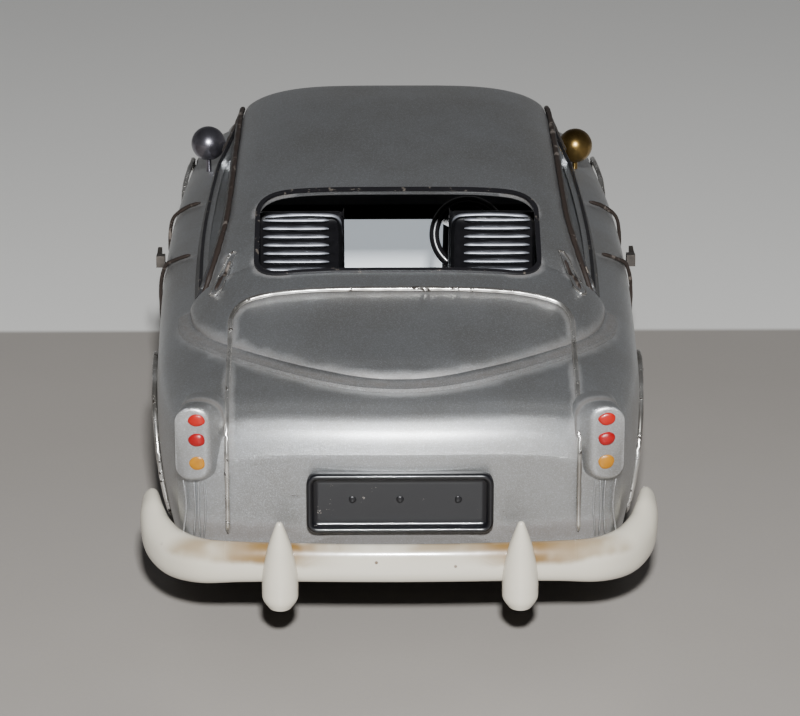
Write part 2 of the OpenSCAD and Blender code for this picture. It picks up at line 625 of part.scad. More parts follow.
module base_plate() color("#55565a") {
  difference() {
    translate([0, 0, plate_low]) linear_extrude(plate_t)
      polygon(concat([for (y = plate_rows) [-plate_edge(y), y]],
        [for (y = flip(plate_rows)) [plate_edge(y), y]]));
    both_sides() {
      axle_notch(rear_axle_y);
      axle_notch(front_axle_y);
    }
    for (p = screw_spots) translate([p[0], p[1], plate_low - 0.01]) {
      cylinder(d = screw_d + 0.3, h = plate_t + 1);
      cylinder(d1 = head_d + 0.2, d2 = screw_d + 0.3, h = 1.05);
    }
  }
  for (y = [rear_axle_y, front_axle_y], x = [-bracket_x, bracket_x])
    difference() {
      translate([x - bracket_t / 2, y - bracket_l / 2, plate_low + plate_t / 2])
        cube([bracket_t, bracket_l, tyre_r + 5 - plate_low - plate_t / 2]);
      translate([x - bracket_t, y, tyre_r]) rotate([0, 90, 0])
        cylinder(r = axle_d / 2 + axle_pinch, h = 2 * bracket_t);
    }
}

// Four countersunk self-tapping screws, heads flush with the plate's underside
module base_screws() color("#77777a")
  for (p = screw_spots) translate([p[0], p[1], plate_low]) {
    cylinder(d1 = head_d, d2 = screw_d, h = 1);
    cylinder(d = screw_d, h = 8);
  }

// Four blocks soldered inside the sills, which take the screws
block_low = plate_low + plate_t + 0.02;
module fixing_blocks() color("#77777a")
  for (p = screw_spots) let(outer = side_x(p[1], block_low) - body_wall - 0.2)
    difference() {
      translate([p[0] > 0 ? 48.5 : -outer, p[1] - 5, block_low]) cube([outer - 48.5, 10, 8]);
      translate([p[0], p[1], block_low - 1]) cylinder(d = screw_d + 0.1, h = 8.4);
    }

// ---- cabin ------------------------------------------------------------------------

tub_half = 45;
tub_t = 1.2;
floor_z = 16;
shelf_z = 61.5;
tub_profile = [[40, 58], [40, floor_z + 2], [38, floor_z], [-58, floor_z], [-61, floor_z + 3],
  [-64, shelf_z - 2], [-66, shelf_z], [-94, shelf_z]];
module cabin_tub() color(black)
  translate([-tub_half, 0, 0]) rotate([90, 0, 90]) linear_extrude(2 * tub_half)
    polygon(concat(tub_profile, [[-94, shelf_z + tub_t], [-65.2, shelf_z + tub_t],
      [-62.8, shelf_z - 1.2], [-59.8, floor_z + 3.6], [-57.4, floor_z + tub_t], [37.4, floor_z + tub_t],
      [38.8, floor_z + 2.6], [38.8, 58]]));

seat_low = floor_z + tub_t + 0.05;
seat_profile = [[-4, seat_low], [-36, seat_low], [-41, 40], [-50, 79], [-47.6, 80.6], [-44.6, 79],
  [-36, 44], [-32, 36.5], [-6, 38], [-2, 34]];
module seat(x) color(black)
  translate([x - seat_w / 2, 0, 0]) rotate([90, 0, 90]) linear_extrude(seat_w)
    polygon(round_path(seat_profile, 1.2, 3));
module seat_left() seat(-26.4);
module seat_right() seat(26.4);

module dashboard() color(black)
  translate([-tub_half + 1, 0, 0]) rotate([90, 0, 90]) linear_extrude(2 * tub_half - 2)
    polygon(round_path([[28, 51.4], [37.3, 55.6], [37.3, 64.4], [30, 66.4], [27, 60]], 1.4, 3));

wheel_hub = [steering_x, -19, 63.5];
column_drop = 26;
module column_frame() translate(wheel_hub) rotate([-90 - column_drop, 0, 0]) children();
module steering_column() color(dark_trim) column_frame() {
  translate([0, 0, 1.2]) cylinder(r = 1.6, h = 60.5);
  cylinder(r = 1, h = 1.2);
}
module steering_wheel() color(black) column_frame()
  difference() {
    union() {
      rotate_extrude() translate([steering_r - steering_t / 2, 0]) circle(steering_t / 2, $fn = 20);
      for (a = [90, 210, 330]) rotate([0, 0, a])
        translate([0, -0.8, -0.5]) cube([steering_r - steering_t / 2, 1.6, 1]);
      translate([0, 0, -1.2]) cylinder(r = 3, h = 2.3);
    }
    translate([0, 0, -0.6]) cylinder(r = 1.02, h = 3);
  }

// ---- axles and wheels ---------------------------------------------------------------

axle_half = 64;
module axle(y) color("#9a9a9c")
  translate([-axle_half, y, tyre_r]) rotate([0, 90, 0]) cylinder(d = axle_d, h = 2 * axle_half);
module axle_front() axle(front_axle_y);
module axle_rear() axle(rear_axle_y);

nut_in = 60.4;
nut_out = 65;
// Push-on hub nuts with two rounded ears, one on each axle end
module hub_nut() rotate([0, 90, 0]) difference() {
  union() {
    rotate_extrude() polygon([[0, nut_in], [3.6, nut_in], [3.6, nut_in + 2], [2.9, nut_out - 1],
      [1.6, nut_out], [0, nut_out + 0.3]]);
    for (a = [20, 200]) rotate([0, 0, a]) translate([1.5, -1, nut_in + 1.4]) cube([5.4, 2, 1.4]);
  }
  translate([0, 0, nut_in - 1]) cylinder(r = axle_d / 2 + axle_pinch, h = axle_half + 1 - nut_in + 0.1);
}
module hub_nuts() color("#a9a9a8")
  for (y = [rear_axle_y, front_axle_y]) translate([0, y, tyre_r]) both_sides() hub_nut();

tyre_in = tyre_out - tyre_w;
rim_r = 15;
seat_gap = 0.03;
// Places a wheel drawn along its axis, from its inner face outwards
module at_wheel(y, side) translate([0, y, tyre_r]) mirror([side < 0 ? 1 : 0, 0, 0])
  translate([tyre_in, 0, 0]) rotate([0, 90, 0]) children();

module tyre(y, side) color(rubber) at_wheel(y, side)
  rotate_extrude($fn = 72) difference() {
    translate([(rim_r + tyre_r) / 2, tyre_w / 2])
      polygon([for (a = [0:15:345]) let(c = cos(a), s = sin(a))
        [sign(c) * pow(abs(c), 0.75) * (tyre_r - rim_r) / 2, sign(s) * pow(abs(s), 0.6) * tyre_w / 2]]);
    square([rim_r + seat_gap, 3 * tyre_w], center = true);
    translate([0, -1]) square([rim_r + seat_gap, tyre_w + 2]);
  }

module wheel(y, side) color("#a8a7a3") at_wheel(y, side)
  rotate_extrude($fn = 72) polygon([[axle_d / 2 + axle_fit, -0.6], [4.4, -0.6], [4.4, 6.4],
    [12.4, 4.4], [13.2, 0.8], [rim_r, 0.5], [rim_r, tyre_w - 0.6], [13.7, tyre_w - 0.6],
    [13, 8.6], [12.4, 6.2], [7, 8.2], [5, 10.4], [axle_d / 2 + axle_fit, 10.4]]);

module tyre_front_left() tyre(front_axle_y, -1);
module tyre_front_right() tyre(front_axle_y, 1);
module tyre_rear_left() tyre(rear_axle_y, -1);
module tyre_rear_right() tyre(rear_axle_y, 1);
module wheel_front_left() wheel(front_axle_y, -1);
module wheel_front_right() wheel(front_axle_y, 1);
module wheel_rear_left() wheel(rear_axle_y, -1);
module wheel_rear_right() wheel(rear_axle_y, 1);

body_shell();
roof_shell();
boot_bead();
bonnet_bead();
bonnet_scoop();
door_seam_left();
door_seam_right();
gutter_left();
gutter_right();
rear_window_frame();
windscreen_frame();
side_window_frame_left();
side_window_frame_right();
pillar_vent_left();
pillar_vent_right();
rear_bumper();
rear_overrider_left();
rear_overrider_right();
number_plate();
tail_lamp_left();
tail_lamp_right();
tail_lens_upper();
tail_lens_middle();
tail_lens_lower();
arch_lip_rear_left();
arch_lip_rear_right();
arch_lip_front_left();
arch_lip_front_right();
mirror_left();
mirror_right();
door_handle_left();
door_handle_right();
front_bumper();
front_overriders();
grille_surround();
grille_bars();
headlamp_rims();
headlamp_lenses();
side_lamps();
base_plate();
base_screws();
fixing_blocks();
cabin_tub();
seat_left();
seat_right();
dashboard();
steering_column();
steering_wheel();
axle_front();
axle_rear();
hub_nuts();
tyre_front_left();
tyre_front_right();
tyre_rear_left();
tyre_rear_right();
wheel_front_left();
wheel_front_right();
wheel_rear_left();
wheel_rear_right();
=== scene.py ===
import math
import random

import bmesh
import bpy
from mathutils import Matrix, Vector, kdtree, noise


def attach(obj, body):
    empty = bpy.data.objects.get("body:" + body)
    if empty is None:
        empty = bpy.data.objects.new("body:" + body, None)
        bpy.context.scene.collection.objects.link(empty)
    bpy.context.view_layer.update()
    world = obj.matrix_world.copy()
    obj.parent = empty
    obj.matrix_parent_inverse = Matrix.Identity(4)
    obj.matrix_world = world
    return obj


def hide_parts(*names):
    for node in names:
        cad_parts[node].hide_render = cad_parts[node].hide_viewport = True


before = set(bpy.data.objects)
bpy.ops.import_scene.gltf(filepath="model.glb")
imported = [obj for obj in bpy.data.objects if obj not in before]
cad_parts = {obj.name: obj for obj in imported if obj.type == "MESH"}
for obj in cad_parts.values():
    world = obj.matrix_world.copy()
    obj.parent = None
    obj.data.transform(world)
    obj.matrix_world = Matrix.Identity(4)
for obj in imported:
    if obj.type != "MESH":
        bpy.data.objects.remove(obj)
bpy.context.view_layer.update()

# ---------------------------------------------------------------------------
# Studio. A pale satin table top with a lighter backing sheet behind it, a
# small soft light just above the camera, and a surround that is darker overhead.
# ---------------------------------------------------------------------------
mm = 0.001


def linear(r, g, b):
    """A colour given as it looks on screen, 0 to 255, in the renderer's linear units."""
    return tuple((c / 255 / 12.92 if c < 11 else ((c / 255 + 0.055) / 1.055) ** 2.4)
                 for c in (r, g, b))


class Field:
    """A value or colour that changes over a surface; arithmetic on it adds Math nodes."""

    def __init__(self, finish, socket):
        self.finish = finish
        self.socket = socket

    def maths(self, operation, *values):
        return self.finish.node("ShaderNodeMath", {"operation": operation}, *values)

    def __add__(self, other):
        return self.maths("ADD", self, other)

    __radd__ = __add__

    def __sub__(self, other):
        return self.maths("SUBTRACT", self, other)

    def __rsub__(self, other):
        return self.maths("SUBTRACT", other, self)

    def __mul__(self, other):
        return self.maths("MULTIPLY", self, other)

    __rmul__ = __mul__

    def __truediv__(self, other):
        return self.maths("DIVIDE", self, other)

    def __pow__(self, other):
        return self.maths("POWER", self, other)

    def low(self, other):
        return self.maths("MINIMUM", self, other)

    def high(self, other):
        return self.maths("MAXIMUM", self, other)

    def size(self):
        return self.maths("ABSOLUTE", self)

    def band(self, start, end):
        """0 at start, 1 at end, with a smooth rise between them, whichever is larger."""
        return self.finish.node("ShaderNodeMapRange", {"interpolation_type": "SMOOTHSTEP"},
                                self, start, end, 0.0, 1.0)


class Finish:
    """One surface finish: a material, its shader and the fields that feed it."""

    def __init__(self, name):
        self.material = bpy.data.materials.new(name)
        self.material.use_nodes = True
        self.tree = self.material.node_tree
        self.shader = self.tree.nodes["Principled BSDF"]
        self.place = None

    def node(self, kind, settings, *values, out=0, **named):
        made = self.tree.nodes.new(kind)
        for key, value in settings.items():
            if key == "stops":
                while len(made.color_ramp.elements) < len(value):
                    made.color_ramp.elements.new(0.5)
                for stop, (at, colour) in zip(made.color_ramp.elements, value):
                    stop.position, stop.color = at, (*colour, 1)
            else:
                setattr(made, key, value)
        for key, value in [*enumerate(values), *named.items()]:
            if value is None:
                continue
            socket = made.inputs[key.replace("_", " ") if isinstance(key, str) else key]
            if isinstance(value, Field):
                self.tree.links.new(value.socket, socket)
            else:
                socket.default_value = value
        return Field(self, made.outputs[out])

    def where(self):
        if self.place is None:
            self.place = self.node("ShaderNodeTexCoord", {}, out=3)
        return self.place

    def axis(self, k):
        return self.node("ShaderNodeSeparateXYZ", {}, self.where(), out=k)

    def noise(self, scale, detail=3, rough=0.55, stretch=None):
        at = self.where()
        if stretch:
            at = self.node("ShaderNodeMapping", {}, Vector=at, Scale=stretch)
        return self.node("ShaderNodeTexNoise", {}, Vector=at, Scale=scale, Detail=detail,
                         Roughness=rough)

    def cells(self, scale):
        return self.node("ShaderNodeTexVoronoi", {}, Vector=self.where(), Scale=scale)

    def reading(self, name):
        """The value that the mesh keeps under this name."""
        return self.node("ShaderNodeAttribute", {"attribute_name": name}, out=2)

    def blend(self, amount, first, second):
        """Colour that runs from first to second as amount goes from 0 to 1."""
        made = self.tree.nodes.new("ShaderNodeMix")
        made.data_type = "RGBA"
        for k, value in ((0, amount), (6, first), (7, second)):
            if isinstance(value, Field):
                self.tree.links.new(value.socket, made.inputs[k])
            else:
                made.inputs[k].default_value = (*value, 1) if k else value
        return Field(self, made.outputs[2])

    def bump(self, height, depth, strength=1.0):
        return self.node("ShaderNodeBump", {}, Strength=strength, Distance=depth, Height=height)

    def feed(self, **sockets):
        for name, value in sockets.items():
            socket = self.shader.inputs[name.replace("_", " ")]
            if isinstance(value, Field):
                self.tree.links.new(value.socket, socket)
            elif isinstance(value, tuple):
                socket.default_value = (*value, 1) if len(value) == 3 else value
            else:
                socket.default_value = value
        return self.material


def object_from(name, points, faces):
    mesh = bpy.data.meshes.new(name)
    mesh.from_pydata([tuple(c * mm for c in p) for p in points], [], faces)
    obj = bpy.data.objects.new(name, mesh)
    bpy.context.scene.collection.objects.link(obj)
    return obj


table = Finish("table_top")
cloud = table.noise(5, 4, 0.6)
speck = table.noise(900, 2, 0.5)
far_side = table.axis(1).band(0.071, 0.075)
near_tone = table.blend(cloud * 0.6 + speck * 0.15, linear(148, 142, 136), linear(176, 170, 164))
table.feed(Base_Color=table.blend(far_side, near_tone, linear(240, 238, 234)),
           Roughness=0.3 + cloud * 0.14, Normal=table.bump(speck, 0.0001, 0.15),
           Specular_IOR_Level=0.35)
floor = object_from("table_top", [(-2500, -2500, 0), (2500, -2500, 0), (2500, 2500, 0), (-2500, 2500, 0)],
                    [(0, 1, 2, 3)])
floor.data.materials.append(table.material)

view_tilt = 21
view_turn = 0.5
view_reach = 869.35
view_height = 412.78
tail_station = -157
camera = bpy.data.objects.new("camera", bpy.data.cameras.new("camera"))
bpy.context.scene.collection.objects.link(camera)
camera.data.lens = 169.3
camera.data.clip_end = 20
camera.location = (-view_reach * math.sin(math.radians(view_turn)) * mm,
                   (tail_station - view_reach * math.cos(math.radians(view_turn))) * mm,
                   view_height * mm)
camera.rotation_euler = (math.radians(90 - view_tilt), 0, math.radians(-view_turn))
bpy.context.scene.camera = camera


def lamp(name, power, width, place, aim, colour=(1, 1, 1), height=None):
    light = bpy.data.lights.new(name, "AREA")
    light.energy = power
    light.shape = "RECTANGLE"
    light.size = width
    light.size_y = height or width
    light.color = colour
    holder = bpy.data.objects.new(name, light)
    bpy.context.scene.collection.objects.link(holder)
    holder.location = place
    holder.rotation_euler = (Vector(aim) - Vector(place)).to_track_quat("-Z", "Y").to_euler()
    return holder


lamp("key", 25, 0.06, (0.01, -1.04, 0.62), (0, -0.1, 0.05), (0.97, 0.99, 1))
surround = bpy.data.worlds.new("surround")
bpy.context.scene.world = surround
surround.use_nodes = True
sky = surround.node_tree
heading = sky.nodes.new("ShaderNodeTexCoord")
parts = sky.nodes.new("ShaderNodeSeparateXYZ")
tones = sky.nodes.new("ShaderNodeValToRGB")
tones.color_ramp.elements[0].position = 0.42
tones.color_ramp.elements[0].color = (0.4, 0.4, 0.4, 1)
tones.color_ramp.elements[1].position = 0.8
tones.color_ramp.elements[1].color = (0.07, 0.07, 0.075, 1)
middle_tone = tones.color_ramp.elements.new(0.66)
middle_tone.color = (0.22, 0.22, 0.22, 1)
lifted = sky.nodes.new("ShaderNodeMath")
lifted.operation = "MULTIPLY_ADD"
lifted.inputs[1].default_value = 0.5
lifted.inputs[2].default_value = 0.5
sky.links.new(heading.outputs["Generated"], parts.inputs[0])
sky.links.new(parts.outputs[2], lifted.inputs[0])
sky.links.new(lifted.outputs[0], tones.inputs[0])
sky.links.new(tones.outputs[0], sky.nodes["Background"].inputs[0])
sky.nodes["Background"].inputs[1].default_value = 0.62

# ---------------------------------------------------------------------------
# Lower body. One pressing of thin tinplate: tail, rear deck, wings, bonnet
# and nose, open underneath. It is sprayed silver with fine metal flake, and
# brown wash has been left along every bead and seam.
# ---------------------------------------------------------------------------
half_breadth = [(-157, 51), (-156.2, 54), (-154.8, 55.6), (-150, 57), (-140, 59.6), (-120, 62.4),
                (-100, 63.7), (-80, 64.4), (-60, 65), (-20, 65.8), (5, 65.7), (40, 64.6), (88, 63),
                (118, 61), (134, 58.4), (145, 54.6), (152, 49.6), (156, 43.6), (158, 36)]
top_line = [(-157, 53), (-156, 56.5), (-154, 60), (-150, 63.2), (-142, 66), (-125, 68.3),
            (-100, 69.6), (-60, 68.6), (-20, 67.6), (20, 67), (46, 66.2), (75, 62.4), (105, 58),
            (130, 54.2), (144, 51.4), (152, 48.6), (156.5, 44.8), (158, 41.5)]
wide_line = [(-157, 40), (-140, 45), (-80, 47), (0, 45), (80, 42.5), (140, 37), (158, 31)]
low_line = [(-157, 20), (-155, 15.5), (-149, 12.6), (-135, 12), (135, 12), (149, 13.2),
            (155, 17), (158, 23)]
tail_y, nose_y = -157, 158
tail_bow, nose_bow, bow_reach, bow_width = 10, 13, 62, 60
sill_tuck, deck_crown = 5, 1.8
body_gauge = 1.6


def fair(table, station):
    """A smooth curve through (station, value) rows."""
    y = min(max(station, table[0][0]), table[-1][0])
    i = max(k for k in range(len(table) - 1) if table[k][0] <= y or k == 0)

    def chord(k):
        return (table[k + 1][1] - table[k][1]) / (table[k + 1][0] - table[k][0])

    def slope(k):
        if k == 0:
            return chord(0)
        if k == len(table) - 1:
            return chord(k - 1)
        before, after = table[k][0] - table[k - 1][0], table[k + 1][0] - table[k][0]
        return (chord(k - 1) * after + chord(k) * before) / (before + after)

    h = table[i + 1][0] - table[i][0]
    s = (y - table[i][0]) / h
    return ((2 * s**3 - 3 * s**2 + 1) * table[i][1] + (s**3 - 2 * s**2 + s) * h * slope(i)
            + (3 * s**2 - 2 * s**3) * table[i + 1][1] + (s**3 - s**2) * h * slope(i + 1))


def ease(t):
    s = min(max(t, 0), 1)
    return s * s * (3 - 2 * s)


def bow(x, y):
    """How far the skin at offset x is swept towards the middle of the car."""
    if y < 0:
        return tail_bow * ease((bow_reach + tail_y - y) / bow_reach) * (x / bow_width) ** 2
    return -nose_bow * ease((y - nose_y + bow_reach) / bow_reach) * (x / bow_width) ** 2


def shoulder_power(y):
    return 4.2 - 0.7 * ease((y - 20) / 60)


def deck_z(x, y, grow=0):
    """Height of the deck at offset x and station y."""
    b, p = fair(half_breadth, y) + grow, shoulder_power(y)
    w = fair(wide_line, y)
    u = min(abs(x) / b, 1)
    return w + (fair(top_line, y) + grow - w) * (1 - u**p) ** (1 / p) - deck_crown * u * u


def side_x(y, z, grow=0):
    """Half breadth at station y and height z."""
    b, p = fair(half_breadth, y) + grow, shoulder_power(y)
    w = fair(wide_line, y)
    if z < w:
        return b - sill_tuck * ((w - z) / (w - fair(low_line, y))) ** 2
    s = min(max((z - w + deck_crown / 2) / (fair(top_line, y) + grow - w), 0), 1)
    return b * (1 - s**p) ** (1 / p)


def body_ring(y, grow, drop, across=96, down=26):
    """One cross section of the lower body, grown or shrunk, as a ring of points."""
    b, w, low = fair(half_breadth, y) + grow, fair(wide_line, y), fair(low_line, y) - drop
    middle, half = (nose_y + tail_y) / 2, (nose_y - tail_y) / 2
    ys = middle + (y - middle) * (1 + grow / half)
    ring = []
    for i in range(across + 1):
        c = math.cos(math.pi * i / across)
        x = b * math.copysign(abs(c) ** 0.62, c)
        ring.append((x, ys + bow(x, y), deck_z(x, y, grow)))
    turn = w - deck_crown
    sides = [k / down for k in range(1, down + 1)]
    for side, steps in ((-1, sides), (1, sides[::-1])):
        for s in steps:
            x = side * (b - sill_tuck * s * s)
            ring.append((x, ys + bow(x, y), turn - (turn - low) * s))
    return ring


def closed_ends(rings):
    """Adds shrinking rings at both ends, so that the swept tail and nose panels stay curved."""
    def panel(ring, station):
        low, high = min(p[2] for p in ring), max(p[2] for p in ring)
        return [[(x * k, y - bow(x, station) + bow(x * k, station), (low + high) / 2
                  + (z - (low + high) / 2) * k) for x, y, z in ring] for k in (0.93, 0.8, 0.6, 0.4, 0.2, 0.03)]
    return [*reversed(panel(rings[0], tail_y)), *rings, *panel(rings[-1], nose_y)]


def loft(rings, capped=True):
    """Points and faces of a skin over rings that all have the same number of points."""
    n = len(rings[0])
    points = [p for ring in rings for p in ring]
    faces = [(j * n + i, j * n + (i + 1) % n, (j + 1) * n + (i + 1) % n, (j + 1) * n + i)
             for j in range(len(rings) - 1) for i in range(n)]
    if capped:
        faces.append(tuple(range(n - 1, -1, -1)))
        faces.append(tuple(range((len(rings) - 1) * n, len(rings) * n)))
    return points, faces


def solid(name, points, faces):
    """A mesh object from points in millimetres, with its faces turned outwards."""
    mesh = bpy.data.meshes.new(name)
    mesh.from_pydata([tuple(c * mm for c in p) for p in points], [], faces)
    made = bmesh.new()
    made.from_mesh(mesh)
    bmesh.ops.recalc_face_normals(made, faces=made.faces)
    made.to_mesh(mesh)
    made.free()
    obj = bpy.data.objects.new(name, mesh)
    bpy.context.scene.collection.objects.link(obj)
    return obj


def cut(obj, *tools, operation="DIFFERENCE"):
    """Cuts closed tools out of a closed solid and throws the tools away."""
    for tool in tools:
        step = obj.modifiers.new("cut", "BOOLEAN")
        step.operation = operation
        step.object = tool
        step.solver = "MANIFOLD"
    bpy.context.view_layer.update()
    graph = bpy.context.evaluated_depsgraph_get()
    old = obj.data
    obj.data = bpy.data.meshes.new_from_object(obj.evaluated_get(graph))
    obj.modifiers.clear()
    bpy.data.meshes.remove(old)
    for tool in tools:
        bpy.data.objects.remove(tool)


def prism(outline, depth, place):
    """An outline in millimetres drawn out along Z, then put in its place by a matrix."""
    n = len(outline)
    points = [tuple(place @ Vector((x, y, z))) for z in (-depth / 2, depth / 2) for x, y in outline]
    sides = [(i, (i + 1) % n, n + (i + 1) % n, n + i) for i in range(n)]
    return solid("tool", points, [*sides, tuple(range(n - 1, -1, -1)), tuple(range(n, 2 * n))])


def round_path(corners, r, n=8):
    """An outline with its corners rounded by curves that start r from each corner."""
    path = []
    for i, v in enumerate(corners):
        v = Vector(v)
        a, b = Vector(corners[i - 1]), Vector(corners[(i + 1) % len(corners)])
        a, b = v + r * (a - v).normalized(), v + r * (b - v).normalized()
        path += [tuple((1 - k / n) ** 2 * a + 2 * k / n * (1 - k / n) * v + (k / n) ** 2 * b)
                 for k in range(n + 1)]
    return path


def rectangle(w, h):
    return [(-w / 2, -h / 2), (w / 2, -h / 2), (w / 2, h / 2), (-w / 2, h / 2)]


def eased(a, b, n):
    return [a + (b - a) * (1 - math.cos(math.pi * i / n)) / 2 for i in range(n + 1)]


def placed(x=0, y=0, z=0, tilt=0, turn=0, roll=0):
    """Position and rotation in one matrix: roll about Y, tilt about X, then turn about Z."""
    return (Matrix.Translation((x, y, z)) @ Matrix.Rotation(math.radians(turn), 4, "Z")
            @ Matrix.Rotation(math.radians(tilt), 4, "X") @ Matrix.Rotation(math.radians(roll), 4, "Y"))


def disc(r, n=64):
    return [(r * math.cos(2 * math.pi * i / n), r * math.sin(2 * math.pi * i / n)) for i in range(n)]


def finished(obj, finish, angle=32, body="root", replaces=()):
    """Gives a piece its finish, soft shading up to an angle, and its place in the frame."""
    obj.data.materials.clear()
    obj.data.materials.append(finish.material)
    obj.data.shade_smooth()
    obj.data.set_sharp_from_angle(angle=math.radians(angle))
    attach(obj, body)
    if replaces:
        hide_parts(*replaces)
    return obj


def skin(name, grow, drop, rows=168):
    return solid(name, *loft(closed_ends([body_ring(y, grow, drop) for y in eased(tail_y, nose_y, rows)])))


arch_r, axle_z = 26.5, 23.5
axle_stations = (-82, 88)
grille_outline = round_path(rectangle(46, 14), 6)
lamp_spots = [(side * 46, 145, 37.6) for side in (-1, 1)]

pressing = skin("body_pressing", 0, 0)
cut(pressing, skin("tool", -body_gauge, 6, 90),
    prism(round_path(rectangle(96, 128), 9), 40, placed(0, -26, 70)),
    *[prism(disc(arch_r, 96), 30, placed(side * 61, y, axle_z, 0, 0, 90))
      for side in (-1, 1) for y in axle_stations],
    prism(grille_outline, 30, placed(0, 158, 31.5, 90)),
    *[prism(disc(8.7), 30, placed(x, y + 7, z, 90)) for x, y, z in lamp_spots])

film = 0.06
crescent_y, crescent_w, roof_tail, roof_front = -88, 55, -142, 44
flange_w, flange_t = 3.4, 0.9
roof_line = [(-142, 66.4), (-140.5, 68.2), (-137, 70), (-130, 72), (-118, 74.7), (-106, 77.6),
             (-97, 80.1), (-80, 85.6), (-62, 91), (-40, 96), (-20, 98.8), (0, 99.6), (12, 98.2),
             (18, 95.4), (24, 90), (32, 81.6), (40, 72.8), (44, 68.2)]
gutter_line = [(-90, 68), (-86, 73), (-76, 79), (-59, 84.4), (-40, 88.6), (-12, 91.2), (8, 91.6),
               (16, 90), (22, 85.8), (30, 78), (38, 70.6), (44, 65)]
gutter_width = [(-90, 51.4), (-86, 49.6), (-82, 48.3), (-76, 47), (-67, 45.5), (-48, 44.2),
                (-23, 43.6), (8, 43), (16, 42.8), (22, 44), (30, 46.6), (38, 49.4), (44, 51.4)]
belt_width = [(-90, 53.8), (-60, 54.8), (-33, 55), (12, 53.8), (44, 52.6)]


def roof_half(y):
    if y < crescent_y - 2:
        return crescent_w * math.sqrt(max(0, 1 - ((y - crescent_y) / (roof_tail - 0.05 - crescent_y)) ** 2))
    return fair(gutter_width, y)


def roof_edge(y):
    return fair(top_line, y) - 2.2 if y < crescent_y - 2 else fair(gutter_line, y)


def crown_z(x, y, grow=0):
    """Height of the roof skin at offset x and station y."""
    e = roof_edge(y) + grow
    u = min(abs(x) / (roof_half(y) + grow), 1)
    soft = ease((y + 125) / 60)
    return e + max(fair(roof_line, y) + grow - e, 0.3) * (1 - u ** (3 + 1.2 * soft)) ** (0.62 + 0.1 * soft)


def on_flange(x, y):
    return ((x / (crescent_w + flange_w)) ** 2
            + ((y - crescent_y) / (crescent_y - roof_tail + flange_w)) ** 2) < 1.1


def skin_z(x, y, lift):
    """Height of the outermost skin, deck or roof."""
    if abs(x) < roof_half(y) and roof_tail < y < roof_front:
        return max(deck_z(x, y, lift + flange_t), crown_z(x, y, lift))
    return deck_z(x, y, lift + (flange_t if y < crescent_y and on_flange(x, y) else 0))


def on_skin(x, y, lift):
    middle, half = (nose_y + tail_y) / 2, (nose_y - tail_y) / 2
    return (x, middle + (y - middle) * (1 + lift / half) + bow(x, y), skin_z(x, y, lift))


def smoothed(route, step=0.8, closed=False):
    """Points about one step apart on a smooth curve through a route."""
    route = [Vector(p) for p in route]
    n = len(route)
    fine = []
    for i in range(n if closed else n - 1):
        ring = [route[(i + k) % n] if closed else route[min(max(i + k, 0), n - 1)] for k in (-1, 0, 1, 2)]
        a, b, c, d = ring
        count = max(2, round((c - b).length / step))
        for k in range(count):
            t = k / count
            fine.append(0.5 * (2 * b + (c - a) * t + (2 * a - 5 * b + 4 * c - d) * t * t
                               + (3 * b - 3 * c + d - a) * t**3))
    return fine if closed else [*fine, route[-1]]


def wire(name, route, thickness, sides=12, closed=False, flat=1.0, wobble=0.0):
    """Round or flattened wire along a route, with slightly uneven thickness."""
    n = len(route)
    rings = []
    up = Vector((0.02, 0.1, 1))
    for i, p in enumerate(route):
        if closed:
            along = route[(i + 1) % n] - route[i - 1]
        else:
            along = route[min(i + 1, n - 1)] - route[max(i - 1, 0)]
        along.normalize()
        across = up.cross(along)
        if across.length < 0.3:
            across = Vector((1, 0, 0)).cross(along)
        across.normalize()
        if rings and across.dot(last) < 0:
            across.negate()
        last = across
        over = along.cross(across)
        r = thickness / 2 * (1 + wobble * noise.noise(p * 0.35))
        if not closed:
            r *= min(1, 0.35 + min(i, n - 1 - i) * 0.3)
        rings.append([tuple(p + r * (math.cos(a) * across + flat * math.sin(a) * over))
                      for a in (2 * math.pi * k / sides for k in range(sides))])
    if closed:
        points = [p for ring in rings for p in ring]
        faces = [(j * sides + k, j * sides + (k + 1) % sides, (j + 1) % n * sides + (k + 1) % sides,
                  (j + 1) % n * sides + k) for j in range(n) for k in range(sides)]
        return solid(name, points, faces)
    return solid(name, *loft(rings))


def keep_reading(obj, name, points, reach):
    """Stores how near each vertex is to a set of points: 1 on them, 0 beyond reach."""
    tree = kdtree.KDTree(len(points))
    for i, p in enumerate(points):
        tree.insert(Vector(p) * mm, i)
    tree.balance()
    values = [max(0.0, 1 - tree.find(v.co)[2] / (reach * mm)) for v in obj.data.vertices]
    reading = obj.data.attributes.new(name, "FLOAT", "POINT")
    reading.data.foreach_set("value", values)


bead_d = 1.3
bead_lift = bead_d / 2 + film
bead_roll = (-157, -156.4, -155.2, -153.4, -151, -148, -144, -139, -133, -127, -121, -115)


def bead_run(x):
    return [(x, tail_y - bead_lift + bow(x, tail_y), z) for z in (30, 36, 42, 46)] + \
           [on_skin(x, y, bead_lift) for y in bead_roll] + \
           [on_skin(x * 0.995, -111, bead_lift), on_skin(x * 0.96, -107.6, bead_lift),
            on_skin(x * 0.89, -105.6, bead_lift)]


